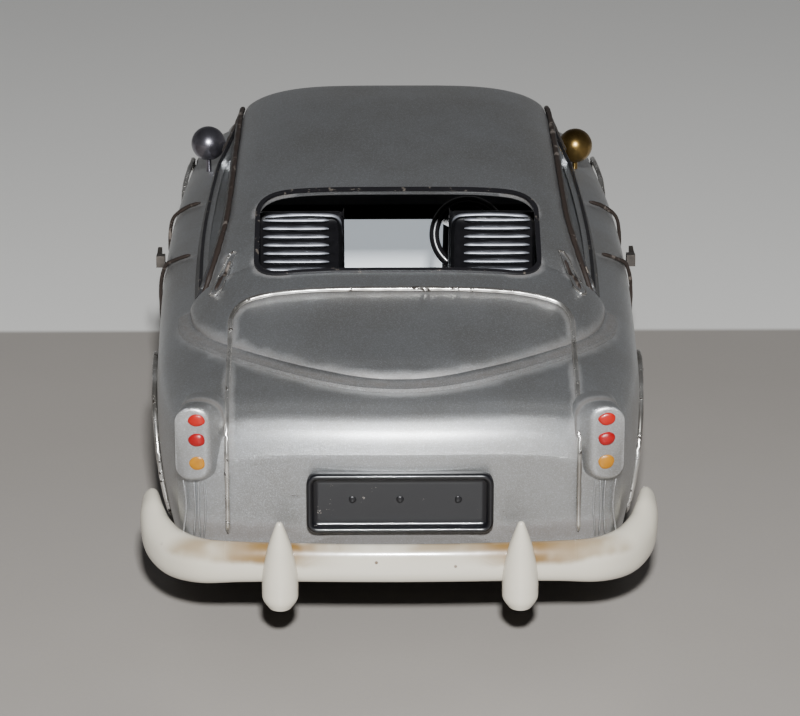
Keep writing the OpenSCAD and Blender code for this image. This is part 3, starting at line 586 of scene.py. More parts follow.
boot_route = smoothed([*bead_run(-43.5), *[on_skin(x, -105, bead_lift) for x in range(-33, 34, 6)],
                       *reversed(bead_run(45.2))])
bonnet_side = [(38 - 11 * (y - 52) / 84, y) for y in range(52, 137, 7)]
bonnet_route = smoothed([*[on_skin(-x, y, bead_lift) for x, y in bonnet_side],
                         *[on_skin(x, 140, bead_lift) for x in range(-24, 25, 6)],
                         *[on_skin(x, y, bead_lift) for x, y in reversed(bonnet_side)]])
seam_d = 1.1
seam_lift = seam_d / 2 + 0.1
door_flank = ((-29, 58), (-27, 52), (-26, 44), (-26, 34), (-26, 24), (-24, 19.5), (-20, 18), (-8, 18),
              (4, 18), (13, 18), (17, 19.5), (19, 24), (19, 34), (19, 44), (18, 52), (16.5, 57))
door_route = smoothed([*[on_skin(x, y, seam_lift) for x, y in ((57.5, -35), (60, -33.5), (62, -31.6))],
                       *[(side_x(y, z, seam_lift), y, z) for y, z in door_flank],
                       *[on_skin(x, y, seam_lift) for x, y in ((60.6, 14.4), (58.6, 13), (56.6, 12))]])


def crescent(a, grow=0):
    """Point of the roof's rounded foot on the rear deck, in plan."""
    x = (crescent_w + grow) * math.cos(a)
    y = crescent_y - (crescent_y - roof_tail + grow) * math.sin(a)
    return x, y + bow(x, y)


foot_route = [(x, y, deck_z(x, y - bow(x, y))) for x, y in
              (crescent(math.pi * i / 120) for i in range(121))]
mirrored = [(-x, y, z) for x, y, z in door_route]
seams = [*boot_route, *bonnet_route, *door_route, *mirrored]
keep_reading(pressing, "seam", seams, 5)
keep_reading(pressing, "foot", foot_route, 12)
edge_points = [(x, tail_y + bow(x, tail_y), z) for x in range(-52, 53, 2) for z in (29.5, 31)]
keep_reading(pressing, "joint", edge_points, 9)


def silver(name, grimes=("seam", "foot"), bright=1.0):
    """Sprayed silver with metal flake, brown wash where the mesh says it gathered."""
    made = Finish(name)
    patchy = made.noise(42, 4, 0.6)
    fine = made.noise(190, 3, 0.6)
    flake = made.cells(5200)
    flake_tone = made.node("ShaderNodeSeparateColor", {}, Field(made, flake.socket.node.outputs[1]))
    grain = made.noise(3200, 2, 0.7)
    base = made.blend(patchy.band(0.3, 0.7), linear(*(c * bright for c in (166, 165, 163))),
                      linear(*(c * bright for c in (176, 177, 178))))
    base = made.blend((flake_tone * 0.55 + grain * 0.45).band(0.45, 1.05), base, linear(208, 212, 218))
    grime = None
    for key in grimes:
        near = made.reading(key)
        one = (near * 1.15 - 0.35 + fine * 0.35 - (1 - patchy) * 0.22).band(0.28, 0.85)
        grime = one if grime is None else grime.high(one)
    if grime is not None:
        base = made.blend(grime * 0.62, base, linear(72, 56, 42))
    specks = made.cells(330).band(0.085, 0.05) * made.noise(25, 2).band(0.58, 0.7)
    base = made.blend(specks * 0.6, base, linear(70, 54, 40))
    dirt = specks if grime is None else grime.high(specks)
    made.feed(Base_Color=base, Metallic=0.88 - dirt * 0.55,
              Roughness=0.36 + fine * 0.06 + dirt * 0.22,
              Normal=made.bump(grain * 0.4 + flake_tone * 0.6, 0.00012, 0.4))
    made.shader.inputs["Specular IOR Level"].default_value = 0.5
    return made


body_silver = silver("body_silver", ("seam", "foot", "joint"))
finished(pressing, body_silver, replaces=("body_shell",))

# ---------------------------------------------------------------------------
# Roof. Roof, pillars and fastback pressed as one thin shell, rounded over at
# its foot, with a narrow flange that is soldered down to the rear deck.
# ---------------------------------------------------------------------------


def roof_ring(y, grow, across=72, pillar=8):
    g, e = roof_half(y) + grow, roof_edge(y) + grow
    b = g if y < crescent_y - 2 else fair(belt_width, y) + grow
    start = min(64, e)
    half = [(b + (g - b) * i / pillar, start + (e - start) * i / pillar) for i in range(pillar + 1)]
    ring = [(b, y + bow(b, y), 56), *[(x, y + bow(x, y), z) for x, z in half]]
    for i in range(1, across):
        x = g * math.cos(math.pi * i / across)
        ring.append((x, y + bow(x, y), crown_z(x, y, grow)))
    return [*ring, *[(-x, y + bow(x, y), z) for x, z in reversed(half)], (-b, y + bow(b, y), 56)]


def roof_solid(name, grow, rows=130):
    a, b = roof_tail + 0.6 - grow, roof_front + grow * 1.6
    return solid(name, *loft([roof_ring(a + (b - a) * (i / rows) ** 1.5, grow) for i in range(rows + 1)]))


rear_glass = round_path(rectangle(74.6, 36), 8)
screen_glass = round_path([(-39, -12.5), (39, -12.5), (44.5, 12.5), (-44.5, 12.5)], 7)
side_glass = round_path([(-79, 67.6), (-70, 76.6), (-57, 82.4), (-38, 86.6), (-12, 89), (8, 89),
                         (16, 86), (33, 67.6)], 2.4, 4)
rear_place = placed(0, -79, 85.6, 17.2)
screen_place = placed(0, 31, 82.5, -46)
upright = Matrix(((0, 0, 1, 0), (1, 0, 0, 0), (0, 1, 0, 0), (0, 0, 0, 1)))
side_places = [Matrix.Translation((side * 55, 0, 0)) @ upright for side in (-1, 1)]

roof = roof_solid("roof_pressing", -0.03)
cut(roof, roof_solid("tool", -1.4, 80), prism(rear_glass, 30, rear_place),
    prism(screen_glass, 30, screen_place), *[prism(side_glass, 30, at) for at in side_places],
    skin("tool", film, 0))
vent_x, vent_y = 45.4, -86.5
vent_points = [(side * vent_x, vent_y + k, crown_z(vent_x, vent_y + k)) for side in (-1, 1) for k in (-4, 0, 4)]
gutter_stations = (-89, -87, -83, -78, -71, -63, -54, -44, -34, -23, -12, -2, 6, 12, 17, 22, 28, 34, 39)
gutter_lift = 1.05
gutter_route = smoothed([(fair(gutter_width, y) + gutter_lift, y, fair(gutter_line, y))
                         for y in gutter_stations])


def outline_points(outline, place, lift=0):
    """Where the edge of an opening meets the roof skin."""
    found = []
    for x, v in outline:
        p = place @ Vector((x, v, 0))
        gap = (crown_z(p.x, p.y, lift) - p.z) * (place.to_3x3() @ Vector((0, 0, 1))).z
        found.append(place @ Vector((x, v, gap)))
    return found


rear_edge = outline_points(rear_glass, rear_place)
seen = [*boot_route, *rear_edge, *vent_points]
keep_reading(roof, "seam", seen, 5)
keep_reading(roof, "foot", foot_route, 9)
keep_reading(roof, "gutter", [*gutter_route, *[(-p.x, p.y, p.z) for p in gutter_route]], 4)
roof_silver = silver("roof_silver", ("seam", "foot", "gutter"), 0.97)
finished(roof, roof_silver, replaces=("roof_shell",))

flange = skin("roof_flange", flange_t, 0)
band = [crescent(math.pi * i / 90, flange_w) for i in range(91)]
inside = [crescent(math.pi * i / 90, -1.5) for i in range(90, -1, -1)]
cut(flange, prism([*band, *inside], 30, placed(0, 0, 70)), operation="INTERSECT")
cut(flange, skin("tool", film, 0))
keep_reading(flange, "foot", [(x, y, deck_z(x, y)) for x, y in
                              (crescent(math.pi * i / 120, 1.6) for i in range(121))], 6)
flange_finish = silver("flange_silver", ("foot",), 0.9)
finished(flange, flange_finish)

# ---------------------------------------------------------------------------
# Beads and seams. Thin wires soldered along the boot, bonnet and door lines,
# left bright where fingers rub them and dark where they chipped.
# ---------------------------------------------------------------------------
worn_wire = Finish("worn_wire")
rub = worn_wire.noise(70, 3, 0.6)
chips = worn_wire.noise(420, 3, 0.7).band(0.6, 0.66)
worn_wire.feed(Base_Color=worn_wire.blend(chips, worn_wire.blend(rub.band(0.35, 0.6), linear(160, 156, 150),
                                                                 linear(226, 224, 220)), linear(38, 30, 25)),
               Metallic=0.9 - chips * 0.7, Roughness=0.26 + chips * 0.4,
               Normal=worn_wire.bump(chips, 0.0002, 0.6))
quiet_wire = Finish("quiet_wire")
rub = quiet_wire.noise(80, 3, 0.6)
quiet_wire.feed(Base_Color=quiet_wire.blend(rub.band(0.4, 0.65), linear(128, 122, 116), linear(190, 188, 184)),
                Metallic=0.8, Roughness=0.4 + rub * 0.1)
dark_wire = Finish("dark_wire")
bare = dark_wire.noise(150, 4, 0.7)
dark_wire.feed(Base_Color=dark_wire.blend(bare.band(0.56, 0.66), linear(44, 36, 32), linear(150, 140, 132)),
               Metallic=bare.band(0.5, 0.7) * 0.8, Roughness=0.42 + bare * 0.15,
               Normal=dark_wire.bump(bare, 0.0002, 0.5))

boot_bead = wire("boot_bead", boot_route, bead_d, wobble=0.16)
finished(boot_bead, worn_wire, 60, replaces=("boot_bead",))
bonnet_bead = wire("bonnet_bead", bonnet_route, bead_d, wobble=0.12)
finished(bonnet_bead, quiet_wire, 60, replaces=("bonnet_bead",))
for side, name in ((-1, "left"), (1, "right")):
    shut = wire("door_seam_" + name, [Vector((side * p.x, p.y, p.z)) for p in door_route], seam_d, wobble=0.2)
    finished(shut, dark_wire, 60, replaces=("door_seam_" + name,))
    rail = wire("gutter_" + name, [Vector((side * p.x, p.y, p.z)) for p in gutter_route], 1.4, wobble=0.25)
    finished(rail, dark_wire, 60, replaces=("gutter_" + name,))

# Pressed ridges that run down from each tail lamp to the bumper.
ridges = []
for side in (-1, 1):
    for x, sway in ((49.4, 0.3), (50.8, -0.2), (52, 0.2), (54.6, 0.5)):
        run = [(side * (x + sway * math.sin(z * 0.3)), tail_y - 0.1 + bow(x, tail_y), z)
               for z in (43.2, 40, 36, 33, 30, 28)]
        ridges.append(wire("tail_ridge", smoothed(run), 0.75, 8, flat=0.8))
        ridges[-1].name = f"tail_ridge_{len(ridges)}"
        finished(ridges[-1], body_silver, 60)

# ---------------------------------------------------------------------------
# Window rubbers. Black strips laid on the skin round each opening, with a
# small lip over its edge; paint has chipped off and shows bright metal.
# ---------------------------------------------------------------------------
rubber = Finish("window_rubber")
nick = rubber.noise(260, 4, 0.7)
rubber.feed(Base_Color=rubber.blend(nick.band(0.6, 0.66), linear(24, 23, 26), linear(150, 140, 130)),
            Roughness=0.34 + nick * 0.2, Metallic=nick.band(0.6, 0.66) * 0.8,
            Normal=rubber.bump(nick, 0.0003, 0.5))


def grown(outline, by):
    """The same outline moved outwards."""
    n = len(outline)
    moved = []
    for i, (x, y) in enumerate(outline):
        ax, ay = outline[i - 1]
        bx, by_ = outline[(i + 1) % n]
        length = math.hypot(bx - ax, by_ - ay) or 1
        moved.append((x + by * (by_ - ay) / length, y - by * (bx - ax) / length))
    return moved


def strip(name, outline, place, wide, grow=0.9):
    made = roof_solid(name, grow, 110)
    cut(made, prism(grown(outline, wide), 24, place), operation="INTERSECT")
    cut(made, prism(grown(outline, -0.5), 30, place), roof_solid("tool", film, 110), skin("tool", film, 0, 90))
    return made


def simple_path(path):
    """Leaves out points that lie on top of one another."""
    return [p for i, p in enumerate(path) if math.dist(p, path[i - 1]) > 0.05]


finished(strip("rear_window_rubber", simple_path(rear_glass), rear_place, 0.75, 0.7), rubber, 40,
         replaces=("rear_window_frame",))
finished(strip("windscreen_rubber", simple_path(screen_glass), screen_place, 1.6), rubber, 40,
         replaces=("windscreen_frame",))
clockwise = simple_path(side_glass)[::-1]
for at, name in zip(side_places, ("left", "right")):
    finished(strip("side_window_rubber_" + name, clockwise, at, 1.9), rubber, 40,
             replaces=("side_window_frame_" + name,))

# ---------------------------------------------------------------------------
# Bumpers. Solid cast bars with rounded section whose ends rise into blunt
# horns; cream enamel, stained golden brown where wash ran into the joint.
# ---------------------------------------------------------------------------
rear_rows = [(0, -160.7, 25.2, 2.6, 5), (14, -160.5, 25.2, 2.6, 5), (28, -159.7, 25.1, 2.7, 5.1),
             (40, -158.2, 24.6, 2.9, 5.3), (50, -155.2, 23.6, 3.6, 5.8), (57, -149.6, 23.3, 4, 6.3),
             (61.4, -143.4, 24.6, 3.9, 6.5), (63.2, -138.4, 26.8, 3.4, 6.1), (63.8, -134.4, 28.4, 2.8, 5.2),
             (64, -131.6, 29.4, 2.3, 4.2), (64, -130.4, 29.6, 1.5, 3)]
front_rows = [(0, 164, 21.5, 2.4, 4.6), (16, 163.7, 21.5, 2.4, 4.6), (30, 162, 21.5, 2.6, 4.7),
              (42, 158.6, 21.6, 2.8, 4.9), (52, 153, 21.8, 3, 5.1), (59, 145.6, 22.2, 2.9, 4.9),
              (63.2, 137.5, 23.2, 2.2, 3.9), (64.8, 130, 24.6, 1.3, 2.4), (65.2, 125, 25.8, 0.5, 0.8)]


def cast_bar(name, half, sides=40, fine=10):
    columns = [[(i, row[k]) for i, row in enumerate(half)] for k in range(5)]
    steps = [i / fine for i in range((len(half) - 1) * fine + 1)]
    one = [[fair(column, t) for column in columns] for t in steps]
    rows = [[-row[0], *row[1:]] for row in reversed(one[1:])] + one
    rings = []
    for i, (x, y, z, deep, high) in enumerate(rows):
        a, b = rows[max(i - 1, 0)], rows[min(i + 1, len(rows) - 1)]
        along = Vector((b[0] - a[0], b[1] - a[1])).normalized()
        ring = []
        for k in range(sides):
            c, v = math.cos(2 * math.pi * k / sides), math.sin(2 * math.pi * k / sides)
            c, v = math.copysign(abs(c) ** 0.8, c), math.copysign(abs(v) ** 0.8, v)
            shelf = 0.22 * high * max(v, 0) * max(c if y < 0 else -c, 0)
            ring.append((x + along.y * c * deep, y - along.x * c * deep, z + v * high - shelf))
        rings.append(ring)
    return solid(name, *loft(rings))


def enamel(name, stain_at=None):
    """Thick cream enamel, glossy, with flecks and a wash stain along one edge."""
    made = Finish(name)
    soft = made.noise(30, 3, 0.5)
    base = made.blend(soft, linear(200, 192, 174), linear(214, 208, 194))
    fleck = made.cells(210).band(0.11, 0.07) * made.noise(40, 2).band(0.52, 0.62)
    streak = made.noise(60, 4, 0.65, (1, 1, 0.25))
    wash = made.noise(38, 3, 0.6)
    mark = fleck
    if stain_at:
        low, high, start, end = stain_at
        x, y, z = made.axis(0), made.axis(1), made.axis(2)
        shelf = (z + streak * 0.004).band(low * mm, high * mm) * y.band(start * mm, end * mm)
        shelf = shelf * y.band(-0.151, -0.156)
        middle = (x.size() - 0.0302).size().band(0.021, 0.003) * wash.band(0.3, 0.46)
        base = made.blend(shelf * middle, base, linear(122, 90, 40))
        thin = shelf * wash.band(0.38, 0.58) * 0.7
        base = made.blend(thin, base, linear(132, 106, 66))
        mark = mark.high(shelf * middle * 0.5)
    base = made.blend(fleck, base, linear(88, 62, 38))
    made.feed(Base_Color=base, Roughness=0.2 + mark * 0.3 + soft * 0.06, Coat_Weight=0.6 - mark * 0.3,
              Normal=made.bump(streak * 0.6 + made.noise(120, 3), 0.0003, 0.3))
    made.shader.inputs["Coat Roughness"].default_value = 0.12
    return made


rear_enamel = enamel("rear_bumper_enamel", (26.4, 28.4, -163.4, -161.6))
finished(cast_bar("rear_bumper", rear_rows), rear_enamel, 50, replaces=("rear_bumper",))
plain_enamel = enamel("front_bumper_enamel")
finished(cast_bar("front_bumper", front_rows), plain_enamel, 50, replaces=("front_bumper",))

# ---------------------------------------------------------------------------
# Over-riders. Tusk shaped castings, round at the waist and pinched to a point
# at the top, cut off flat below; they are fixed over the bumper bar.
# ---------------------------------------------------------------------------
tusk = ((14.8, 2.9, 0.8), (16.4, 4.2, 0.2), (19.5, 4.6, 0), (23.5, 4.4, 0), (27.5, 3.8, 0.1),
        (31.5, 2.9, 0.5), (35, 1.8, 1), (37.8, 0.8, 1.4))


def tusk_casting(name, x, end):
    girth = [(row[0], row[1]) for row in tusk]
    lean = [(row[0], row[2]) for row in tusk]
    heights = [tusk[0][0] + (tusk[-1][0] - tusk[0][0]) * i / 60 for i in range(61)]
    rings = []
    for z in heights:
        r, proud = fair(girth, z), fair(lean, z)
        rings.append([(x + r * math.cos(a) * (1 + 0.05 * math.sin(a)),
                       end * (-163.25 + r * math.sin(a) - proud), z)
                      for a in (2 * math.pi * k / 40 for k in range(40))])
    tip = [(x + (p[0] - x) * 0.5, end * (-164.7) + (p[1] + end * 164.7) * 0.5, 38.2) for p in rings[-1]]
    return solid(name, *loft([*rings, tip]))


tusk_enamel = enamel("over_rider_enamel", (15, 38, -168, -164.4))
for x, name in ((-30.2, "rear_overrider_left"), (30.2, "rear_overrider_right")):
    finished(tusk_casting(name, x, 1), plain_enamel, 45, replaces=(name,))
pair = tusk_casting("front_overriders", -26, -1)
cut(pair, tusk_casting("tool", 26, -1), operation="UNION")
finished(pair, plain_enamel, 45, replaces=("front_overriders",))

# ---------------------------------------------------------------------------
# Number plate. A shallow pressed pan with a rolled rim, left blank, glossy
# black, with three dimples where punch marks were and a chip on its edge.
# ---------------------------------------------------------------------------
plate_y, plate_z, plate_deep = -157.1, 40.8, 2.6
steps = ((0, 0), (0.15, 1.9), (-0.15, 2.4), (-0.6, 2.6), (-1, 2.45), (-1.35, 2), (-1.6, 1.3), (-2.1, 0.95),
         (-3, 0.9))
pan_rings = [[(x, plate_y - depth, plate_z + z) for x, z in
              round_path(rectangle(46.7 + 2 * grow, 15.7 + 2 * grow), max(3 + grow, 0.8), 10)]
             for grow, depth in steps]
pan_points, pan_faces = loft(pan_rings)
pan = solid("number_plate", pan_points, pan_faces)
gloss_black = Finish("gloss_black")
dent = gloss_black.noise(70, 4, 0.6)
chip = gloss_black.noise(300, 4, 0.75).band(0.66, 0.7)
gloss_black.feed(Base_Color=gloss_black.blend(chip, gloss_black.blend(dent, linear(7, 7, 10), linear(15, 15, 20)),
                                              linear(128, 122, 116)),
                 Roughness=0.22 + dent * 0.16 + chip * 0.3, Coat_Weight=0.2 - chip * 0.2,
                 Normal=gloss_black.bump(dent, 0.0004, 0.3))
finished(pan, gloss_black, 50, replaces=("number_plate",))
nubs = []
for x in (-12, 0, 14.5):
    rings = [[(x + r * math.cos(a) * (1 + 0.2 * math.sin(a + x)), plate_y - depth, plate_z + 0.6 + r * math.sin(a))
              for a in (2 * math.pi * k / 24 for k in range(24))]
             for r, depth in ((1, 0.6), (0.95, 0.92), (0.7, 1.02), (0.35, 1.08), (0.1, 1.1))]
    nubs.append(solid("punch_mark", *loft(rings)))
cut(nubs[0], *nubs[1:], operation="UNION")
nubs[0].name = "plate_marks"
finished(nubs[0], gloss_black, 60)
scratch = wire("paint_scratch", smoothed([(-27.6, -157.02, 42.4), (-26.4, -157.02, 42.1), (-25.2, -157.02, 42.1)], 0.3),
               0.22, 6)
finished(scratch, dark_wire, 60)

# ---------------------------------------------------------------------------
# Tail lamps. A tall rounded casting on each corner of the tail, flared at its
# foot, with three lenses painted on raised blobs: two red and one amber.
# ---------------------------------------------------------------------------
lamp_x, lamp_z, lamp_back, lamp_yaw, lamp_out = 50.6, 54.2, -143, 8, 9.6
lamp_steps = ((2.8, 0, 0, 5.6), (2.8, 0, 5.6, 5.6), (1.5, -0.3, 7, 5.2), (0.6, -0.7, 8, 4.9), (0.1, -1, 8.7, 4.6),
              (-0.5, -1.5, 9.2, 4.3), (-1.3, -2.2, 9.5, 3.9), (-2.2, -3.1, 9.6, 3.4))
for side, name in ((-1, "left"), (1, "right")):
    at = placed(side * lamp_x, lamp_back, lamp_z, 90, side * lamp_yaw)
    rings = [[tuple(at @ Vector((x - side * wide / 2, v, out))) for x, v in
              round_path(rectangle(9 + wide, 21 + tall), r, 10)]
             for wide, tall, out, r in lamp_steps]
    casting = solid("tail_lamp_" + name, *loft(rings))
    base_points = [rings[1][k] for k in range(len(rings[1]))]
    keep_reading(casting, "seam", base_points, 2.4)
    keep_reading(casting, "foot", [rings[0][0]], 0.5)
    finished(casting, silver("lamp_silver_" + name, ("seam",), 1.02), 60,
             replaces=("tail_lamp_" + name,))


def lens_paint(name, deep, light):
    made = Finish(name)
    uneven = made.noise(500, 3, 0.6)
    made.feed(Base_Color=made.blend(uneven, deep, light), Roughness=0.28 + uneven * 0.16, Coat_Weight=0.2,
              Normal=made.bump(uneven, 0.0002, 0.5))
    return made


for name, z, r, high, tones in (("upper", 60.8, (2.2, 1.65), 0.7, (linear(150, 10, 2), linear(186, 22, 8))),
                                ("middle", 55.5, (2.15, 1.85), 0.95, (linear(128, 0, 4), linear(166, 2, 10))),
                                ("lower", 49.2, (2.05, 1.95), 0.55, (linear(146, 92, 0), linear(184, 124, 4)))):
    made = bmesh.new()
    rows, around = 8, 36
    for side in (-1, 1):
        at = placed(side * lamp_x + (1 if side < 0 else 0), lamp_back, z, 90, side * lamp_yaw)
        at = at @ Matrix.Translation((0, 0, lamp_out - 0.1))
        ring_list = []
        for j in range(rows):
            k = math.cos(math.pi / 2 * j / rows)
            ring_list.append([made.verts.new(tuple(mm * c for c in at @ Vector((
                r[0] * k * math.cos(a) * (1 + 0.05 * math.sin(3 * a + z + side)),
                r[1] * k * math.sin(a) * (1 + 0.05 * math.cos(2 * a + z)),
                0.1 + high * math.sin(math.pi / 2 * j / rows))))) for a in
                (2 * math.pi * i / around for i in range(around))])
        foot = [made.verts.new(tuple(v.co - (at.to_3x3() @ Vector((0, 0, 0.3))) * mm)) for v in ring_list[0]]
        ring_list.insert(0, foot)
        for a, b in zip(ring_list, ring_list[1:]):
            for i in range(around):
                made.faces.new((a[i], a[(i + 1) % around], b[(i + 1) % around], b[i]))
        made.faces.new(ring_list[-1])
        made.faces.new(reversed(foot))
    bmesh.ops.recalc_face_normals(made, faces=made.faces)
    mesh = bpy.data.meshes.new("tail_lens_" + name)
    made.to_mesh(mesh)
    lens = bpy.data.objects.new("tail_lens_" + name, mesh)
    bpy.context.scene.collection.objects.link(lens)
    slot = {"upper": "orange_lens", "middle": "red_lens", "lower": "amber_lens"}[name]
    finished(lens, lens_paint(slot, *tones), 60, replaces=("tail_lens_" + name,))

# ---------------------------------------------------------------------------
# Pillar vents. A thin slanted plate on each rear pillar with a dark louvre
# down its middle and bright worn edges, pressed on over the paint.
# ---------------------------------------------------------------------------
vent_plan = [(-2.6, 3.6), (-1.2, 4.2), (0.6, 1.2), (4.2, -9.6), (2.8, -11.4), (0.9, -9.8)]
for side, name in ((-1, "left"), (1, "right")):
    plan = [(side * (vent_x + x), vent_y + y) for x, y in vent_plan][::side]
    vent = roof_solid("pillar_vent_" + name, 0.5, 110)
    cut(vent, prism(round_path(plan, 0.5, 4), 60, placed(0, 0, 80)), operation="INTERSECT")
    cut(vent, roof_solid("tool", film, 110))
    rim = [Vector((side * (vent_x + x), vent_y + y, crown_z(vent_x + x, vent_y + y, 0.5))) for x, y in
           round_path(vent_plan, 0.5, 4)]
    keep_reading(vent, "seam", rim, 2)
    finished(vent, silver("vent_silver_" + name, ("seam",), 0.94), 40,
             replaces=("pillar_vent_" + name,))
    finished(wire("pillar_edge_" + name, [*rim, rim[0]], 0.6, 8), worn_wire, 60)
    louvre = [(side * (vent_x + x), vent_y + y, crown_z(vent_x + x, vent_y + y, 0.45))
              for x, y in ((-1, 1.2), (0.2, -2), (1.4, -5.6), (2.6, -9.2))]
    finished(wire("pillar_louvre_" + name, smoothed(louvre, 0.5), 1.1, 10), dark_wire, 60)

# ---------------------------------------------------------------------------
# Arch lips. A wire rolled round the edge of each wheel arch, bright where it
# has rubbed against hands.
# ---------------------------------------------------------------------------
for y, end in zip(axle_stations, ("rear", "front")):
    for side, name in ((-1, "left"), (1, "right")):
        run = []
        for i in range(109):
            a = math.radians(-18 + 2 * i)
            run.append((y + (arch_r - 0.1) * math.cos(a), axle_z + (arch_r - 0.1) * math.sin(a)))
        run = [Vector((side * side_x(v, z, 0.8), v, z)) for v, z in run]
        finished(wire(f"arch_lip_{end}_{name}", run, 1.5, wobble=0.15), worn_wire, 60,
                 replaces=(f"arch_lip_{end}_{name}",))

# ---------------------------------------------------------------------------
# Mirrors and handles. Turned round mirrors on short stalks, one left silver
# and one brassy where its plating has worn, and cast dark door handles.
# ---------------------------------------------------------------------------


def worn_metal(name, deep, light, rough, metal=0.95, scale=60):
    made = Finish(name)
    patina = made.noise(scale, 4, 0.65)
    fine = made.noise(scale * 8, 3, 0.6)
    made.feed(Base_Color=made.blend(patina.band(0.3, 0.7), deep, light), Metallic=metal,
              Roughness=rough + patina * 0.12, Normal=made.bump(fine, 0.0001, 0.3))
    return made


def carried(finish, *names):
    """Gives parts of the frame a finish; their shapes stay as they are."""
    for name in names:
        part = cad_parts[name]
        for slot in part.material_slots:
            slot.material = finish.material


carried(worn_metal("mirror_silver", linear(96, 92, 100), linear(150, 148, 156), 0.2), "mirror_left")
carried(worn_metal("mirror_brass", linear(92, 72, 38), linear(150, 124, 74), 0.22), "mirror_right")
carried(worn_metal("dark_handle", linear(38, 34, 32), linear(84, 78, 72), 0.36, 0.6),
        "door_handle_left", "door_handle_right")

# ---------------------------------------------------------------------------
# Cabin. A black pressed tub with a shelf under the rear window, and a pale
# bulkhead panel across the front that glows with painted light between the seats.
# ---------------------------------------------------------------------------
cabin_black = Finish("cabin_black")
lint = cabin_black.noise(130, 4, 0.6)
cabin_black.feed(Base_Color=cabin_black.blend(lint, linear(14, 14, 16), linear(34, 32, 32)),
                 Roughness=0.4 + lint * 0.2, Normal=cabin_black.bump(lint, 0.0002, 0.3))
carried(cabin_black, "cabin_tub")
bulkhead_path = [(-22, 38.1), (-14, 37.7), (-4, 37.5), (6, 37.6), (14, 38.1), (14, 38.6), (-22, 38.6)]
panel_rings = [[(x + lean * 0.02 * (z - 18), y, z) for x, y in bulkhead_path]
               for z, lean in ((18, 1), (26, 1), (34, 1), (42, 1), (50, 1), (57, 1))]
bulkhead = solid("bulkhead_panel", *loft(panel_rings))
pale = Finish("pale_enamel_glowing")
haze = pale.noise(35, 3, 0.5)
pale.feed(Base_Color=pale.blend(haze, linear(240, 246, 250), linear(250, 252, 254)), Roughness=0.25 + haze * 0.1,
          Coat_Weight=0.4)
# Painted light: the bulkhead panel is given a glow, though it is no lamp, so that it shows bright between the seats.
pale.shader.inputs["Emission Color"].default_value = (0.8, 0.88, 0.95, 1)
pale.shader.inputs["Emission Strength"].default_value = 0.55
finished(bulkhead, pale, 40)
shelf_top = Finish("dash_enamel")
grey_top = shelf_top.axis(2).band(0.0566, 0.0572)
dash_wear = shelf_top.noise(160, 4, 0.6)
shelf_top.feed(Base_Color=shelf_top.blend(grey_top, linear(15, 14, 16), linear(104, 106, 110)),
               Roughness=0.3 + dash_wear * 0.2, Normal=shelf_top.bump(dash_wear, 0.0002, 0.3))
carried(shelf_top, "dashboard")
rim_black = Finish("steering_black")
grip = rim_black.noise(200, 3, 0.6)
rim_black.feed(Base_Color=rim_black.blend(grip, linear(12, 12, 14), linear(30, 29, 31)), Roughness=0.18 + grip * 0.15,
               Coat_Weight=0.5, Normal=rim_black.bump(grip, 0.0001, 0.3))
carried(rim_black, "steering_wheel")
carried(worn_metal("column_steel", linear(60, 58, 56), linear(110, 106, 102), 0.35), "steering_column")

# ---------------------------------------------------------------------------
# Seats. Moulded buckets in black enamel with horizontal ribs across the back
# and raised piping round its edge, dry brushed, with a painted highlight where they face upwards.
# ---------------------------------------------------------------------------
seat_profile = [(-4, 17.3), (-36, 17.3), (-41, 40), (-50, 79), (-47.6, 80.6), (-44.6, 79),
                (-36, 44), (-32, 36.5), (-6, 38), (-2, 34)]
seat_black = Finish("seat_black")
hide = seat_black.noise(500, 3, 0.6)
seat_black.feed(Base_Color=seat_black.blend(hide, linear(10, 10, 12), linear(26, 25, 28)),
                Roughness=0.3 + hide * 0.15, Coat_Weight=0.3, Normal=seat_black.bump(hide, 0.0002, 0.4))
rib_drybrush_and_highlight = Finish("drybrushed_rib_with_highlight")
drag = rib_drybrush_and_highlight.noise(120, 4, 0.7, (0.35, 1, 1))
facing = rib_drybrush_and_highlight.node("ShaderNodeSeparateXYZ", {}, rib_drybrush_and_highlight.node("ShaderNodeNewGeometry", {}, out=1), out=2)
# Painted highlight: ribs and piping are coloured lighter where they face upwards, mixed with dry-brush streaks.
lit_top_and_drybrush = (facing + drag * 0.5).band(0.1, 0.75)
rib_drybrush_and_highlight.feed(Base_Color=rib_drybrush_and_highlight.blend(lit_top_and_drybrush, linear(10, 10, 12), linear(146, 148, 156)),
               Metallic=lit_top_and_drybrush * 0.6, Roughness=0.34 + drag * 0.1)


def back_y(z):
    """Station of the rear face of a seat back at height z."""
    return -41 - 9 * (z - 40) / 39


for side, name in ((-1, "left"), (1, "right")):
    rings = []
    for x, inset in ((-12, 1.6), (-11.7, 0.8), (-11, 0.2), (-10.4, 0), (10.4, 0), (11, 0.2), (11.7, 0.8), (12, 1.6)):
        shape = grown(simple_path(round_path(seat_profile, 1.8, 5)), inset)
        rings.append([(side * 26.4 + x, y, z) for y, z in shape])
    bucket = solid("seat_" + name, *loft(rings))
    finished(bucket, seat_black, 40, replaces=("seat_" + name,))
    ribs = []
    for k in range(13):
        z = 78.4 - 2.62 * k
        run = smoothed([(side * x, back_y(z) - 0.15 - 0.25 * math.sin(math.pi * (x - 18.6) / 18), z)
                        for x in (18.6, 21, 25, 29, 33, 36.6)])
        ribs.append(wire("rib", run, 1.25, 10, wobble=0.25))
    cut(ribs[0], *ribs[1:], operation="UNION")
    ribs[0].name = "seat_ribs_" + name
    finished(ribs[0], rib_drybrush_and_highlight, 60)
    edge = [(side * x, back_y(z) - 0.1, z) for x, z in ((15.4, 46), (15.4, 60), (15.4, 70), (15.5, 76), (16.4, 79.2),
                                                        (20, 79.9), (28, 80), (36, 79.4))]
    piping = wire("seat_piping_" + name, smoothed(edge), 1.3, 10, wobble=0.2)
    finished(piping, rib_drybrush_and_highlight, 60)

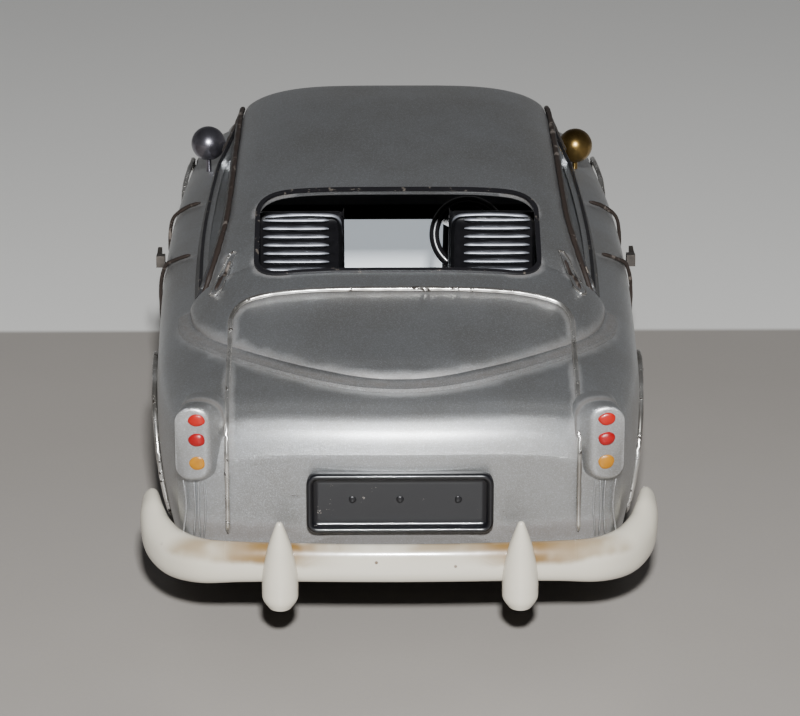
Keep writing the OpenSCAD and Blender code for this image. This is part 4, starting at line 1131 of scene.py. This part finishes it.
# ---------------------------------------------------------------------------
# Front end. A plain oval mouth with upright bars, round lamps in turned rims,
# small amber side lamps, and a low scoop on the bonnet.
# ---------------------------------------------------------------------------
bright_trim = worn_metal("bright_trim", linear(150, 146, 140), linear(214, 212, 208), 0.24)
carried(bright_trim, "grille_surround", "grille_bars", "headlamp_rims")
clear_lens = Finish("headlamp_glass")
flute = clear_lens.node("ShaderNodeTexWave", {"bands_direction": "X"}, out=1, Vector=clear_lens.where(), Scale=190.0)
clear_lens.feed(Base_Color=clear_lens.blend(flute, linear(168, 176, 182), linear(222, 228, 232)), Metallic=0.35,
                Roughness=0.1, Coat_Weight=1.0, Normal=clear_lens.bump(flute, 0.0002, 0.4))
carried(clear_lens, "headlamp_lenses")
carried(lens_paint("side_amber", linear(176, 112, 20), linear(222, 158, 50)), "side_lamps")
scoop_silver = silver("scoop_silver", (), 1.0)
carried(scoop_silver, "bonnet_scoop")

# ---------------------------------------------------------------------------
# Underside. A folded steel plate with four axle brackets, held by countersunk
# screws that bite into blocks soldered inside the sills.
# ---------------------------------------------------------------------------
base_steel = worn_metal("base_steel", linear(58, 58, 60), linear(96, 95, 94), 0.38, 0.85, 30)
carried(base_steel, "base_plate", "fixing_blocks")
bare_steel = worn_metal("bare_steel", linear(120, 118, 114), linear(180, 178, 172), 0.28)
carried(bare_steel, "base_screws", "axle_front", "axle_rear", "hub_nuts")

# ---------------------------------------------------------------------------
# Wheels. Turned discs with a dished face, sprayed silver, that run on the
# axles, each in a moulded black rubber tyre with grooves round its tread.
# ---------------------------------------------------------------------------
wheel_paint = worn_metal("wheel_silver", linear(132, 130, 126), linear(184, 182, 178), 0.32, 0.85)
tread = Finish("tyre_rubber")
grooves = tread.axis(0).maths("SINE", tread.axis(0) * 2900)
dusting = tread.noise(80, 4, 0.65)
fine_rubber = tread.noise(900, 3, 0.6)
tread.feed(Base_Color=tread.blend(dusting, linear(26, 26, 28), linear(52, 50, 48)), Roughness=0.62 + dusting * 0.16,
           Normal=tread.bump(grooves * 0.5 + fine_rubber * 0.3, 0.0004, 0.5))
for end in ("front", "rear"):
    for side in ("left", "right"):
        carried(wheel_paint, f"wheel_{end}_{side}")
        carried(tread, f"tyre_{end}_{side}")
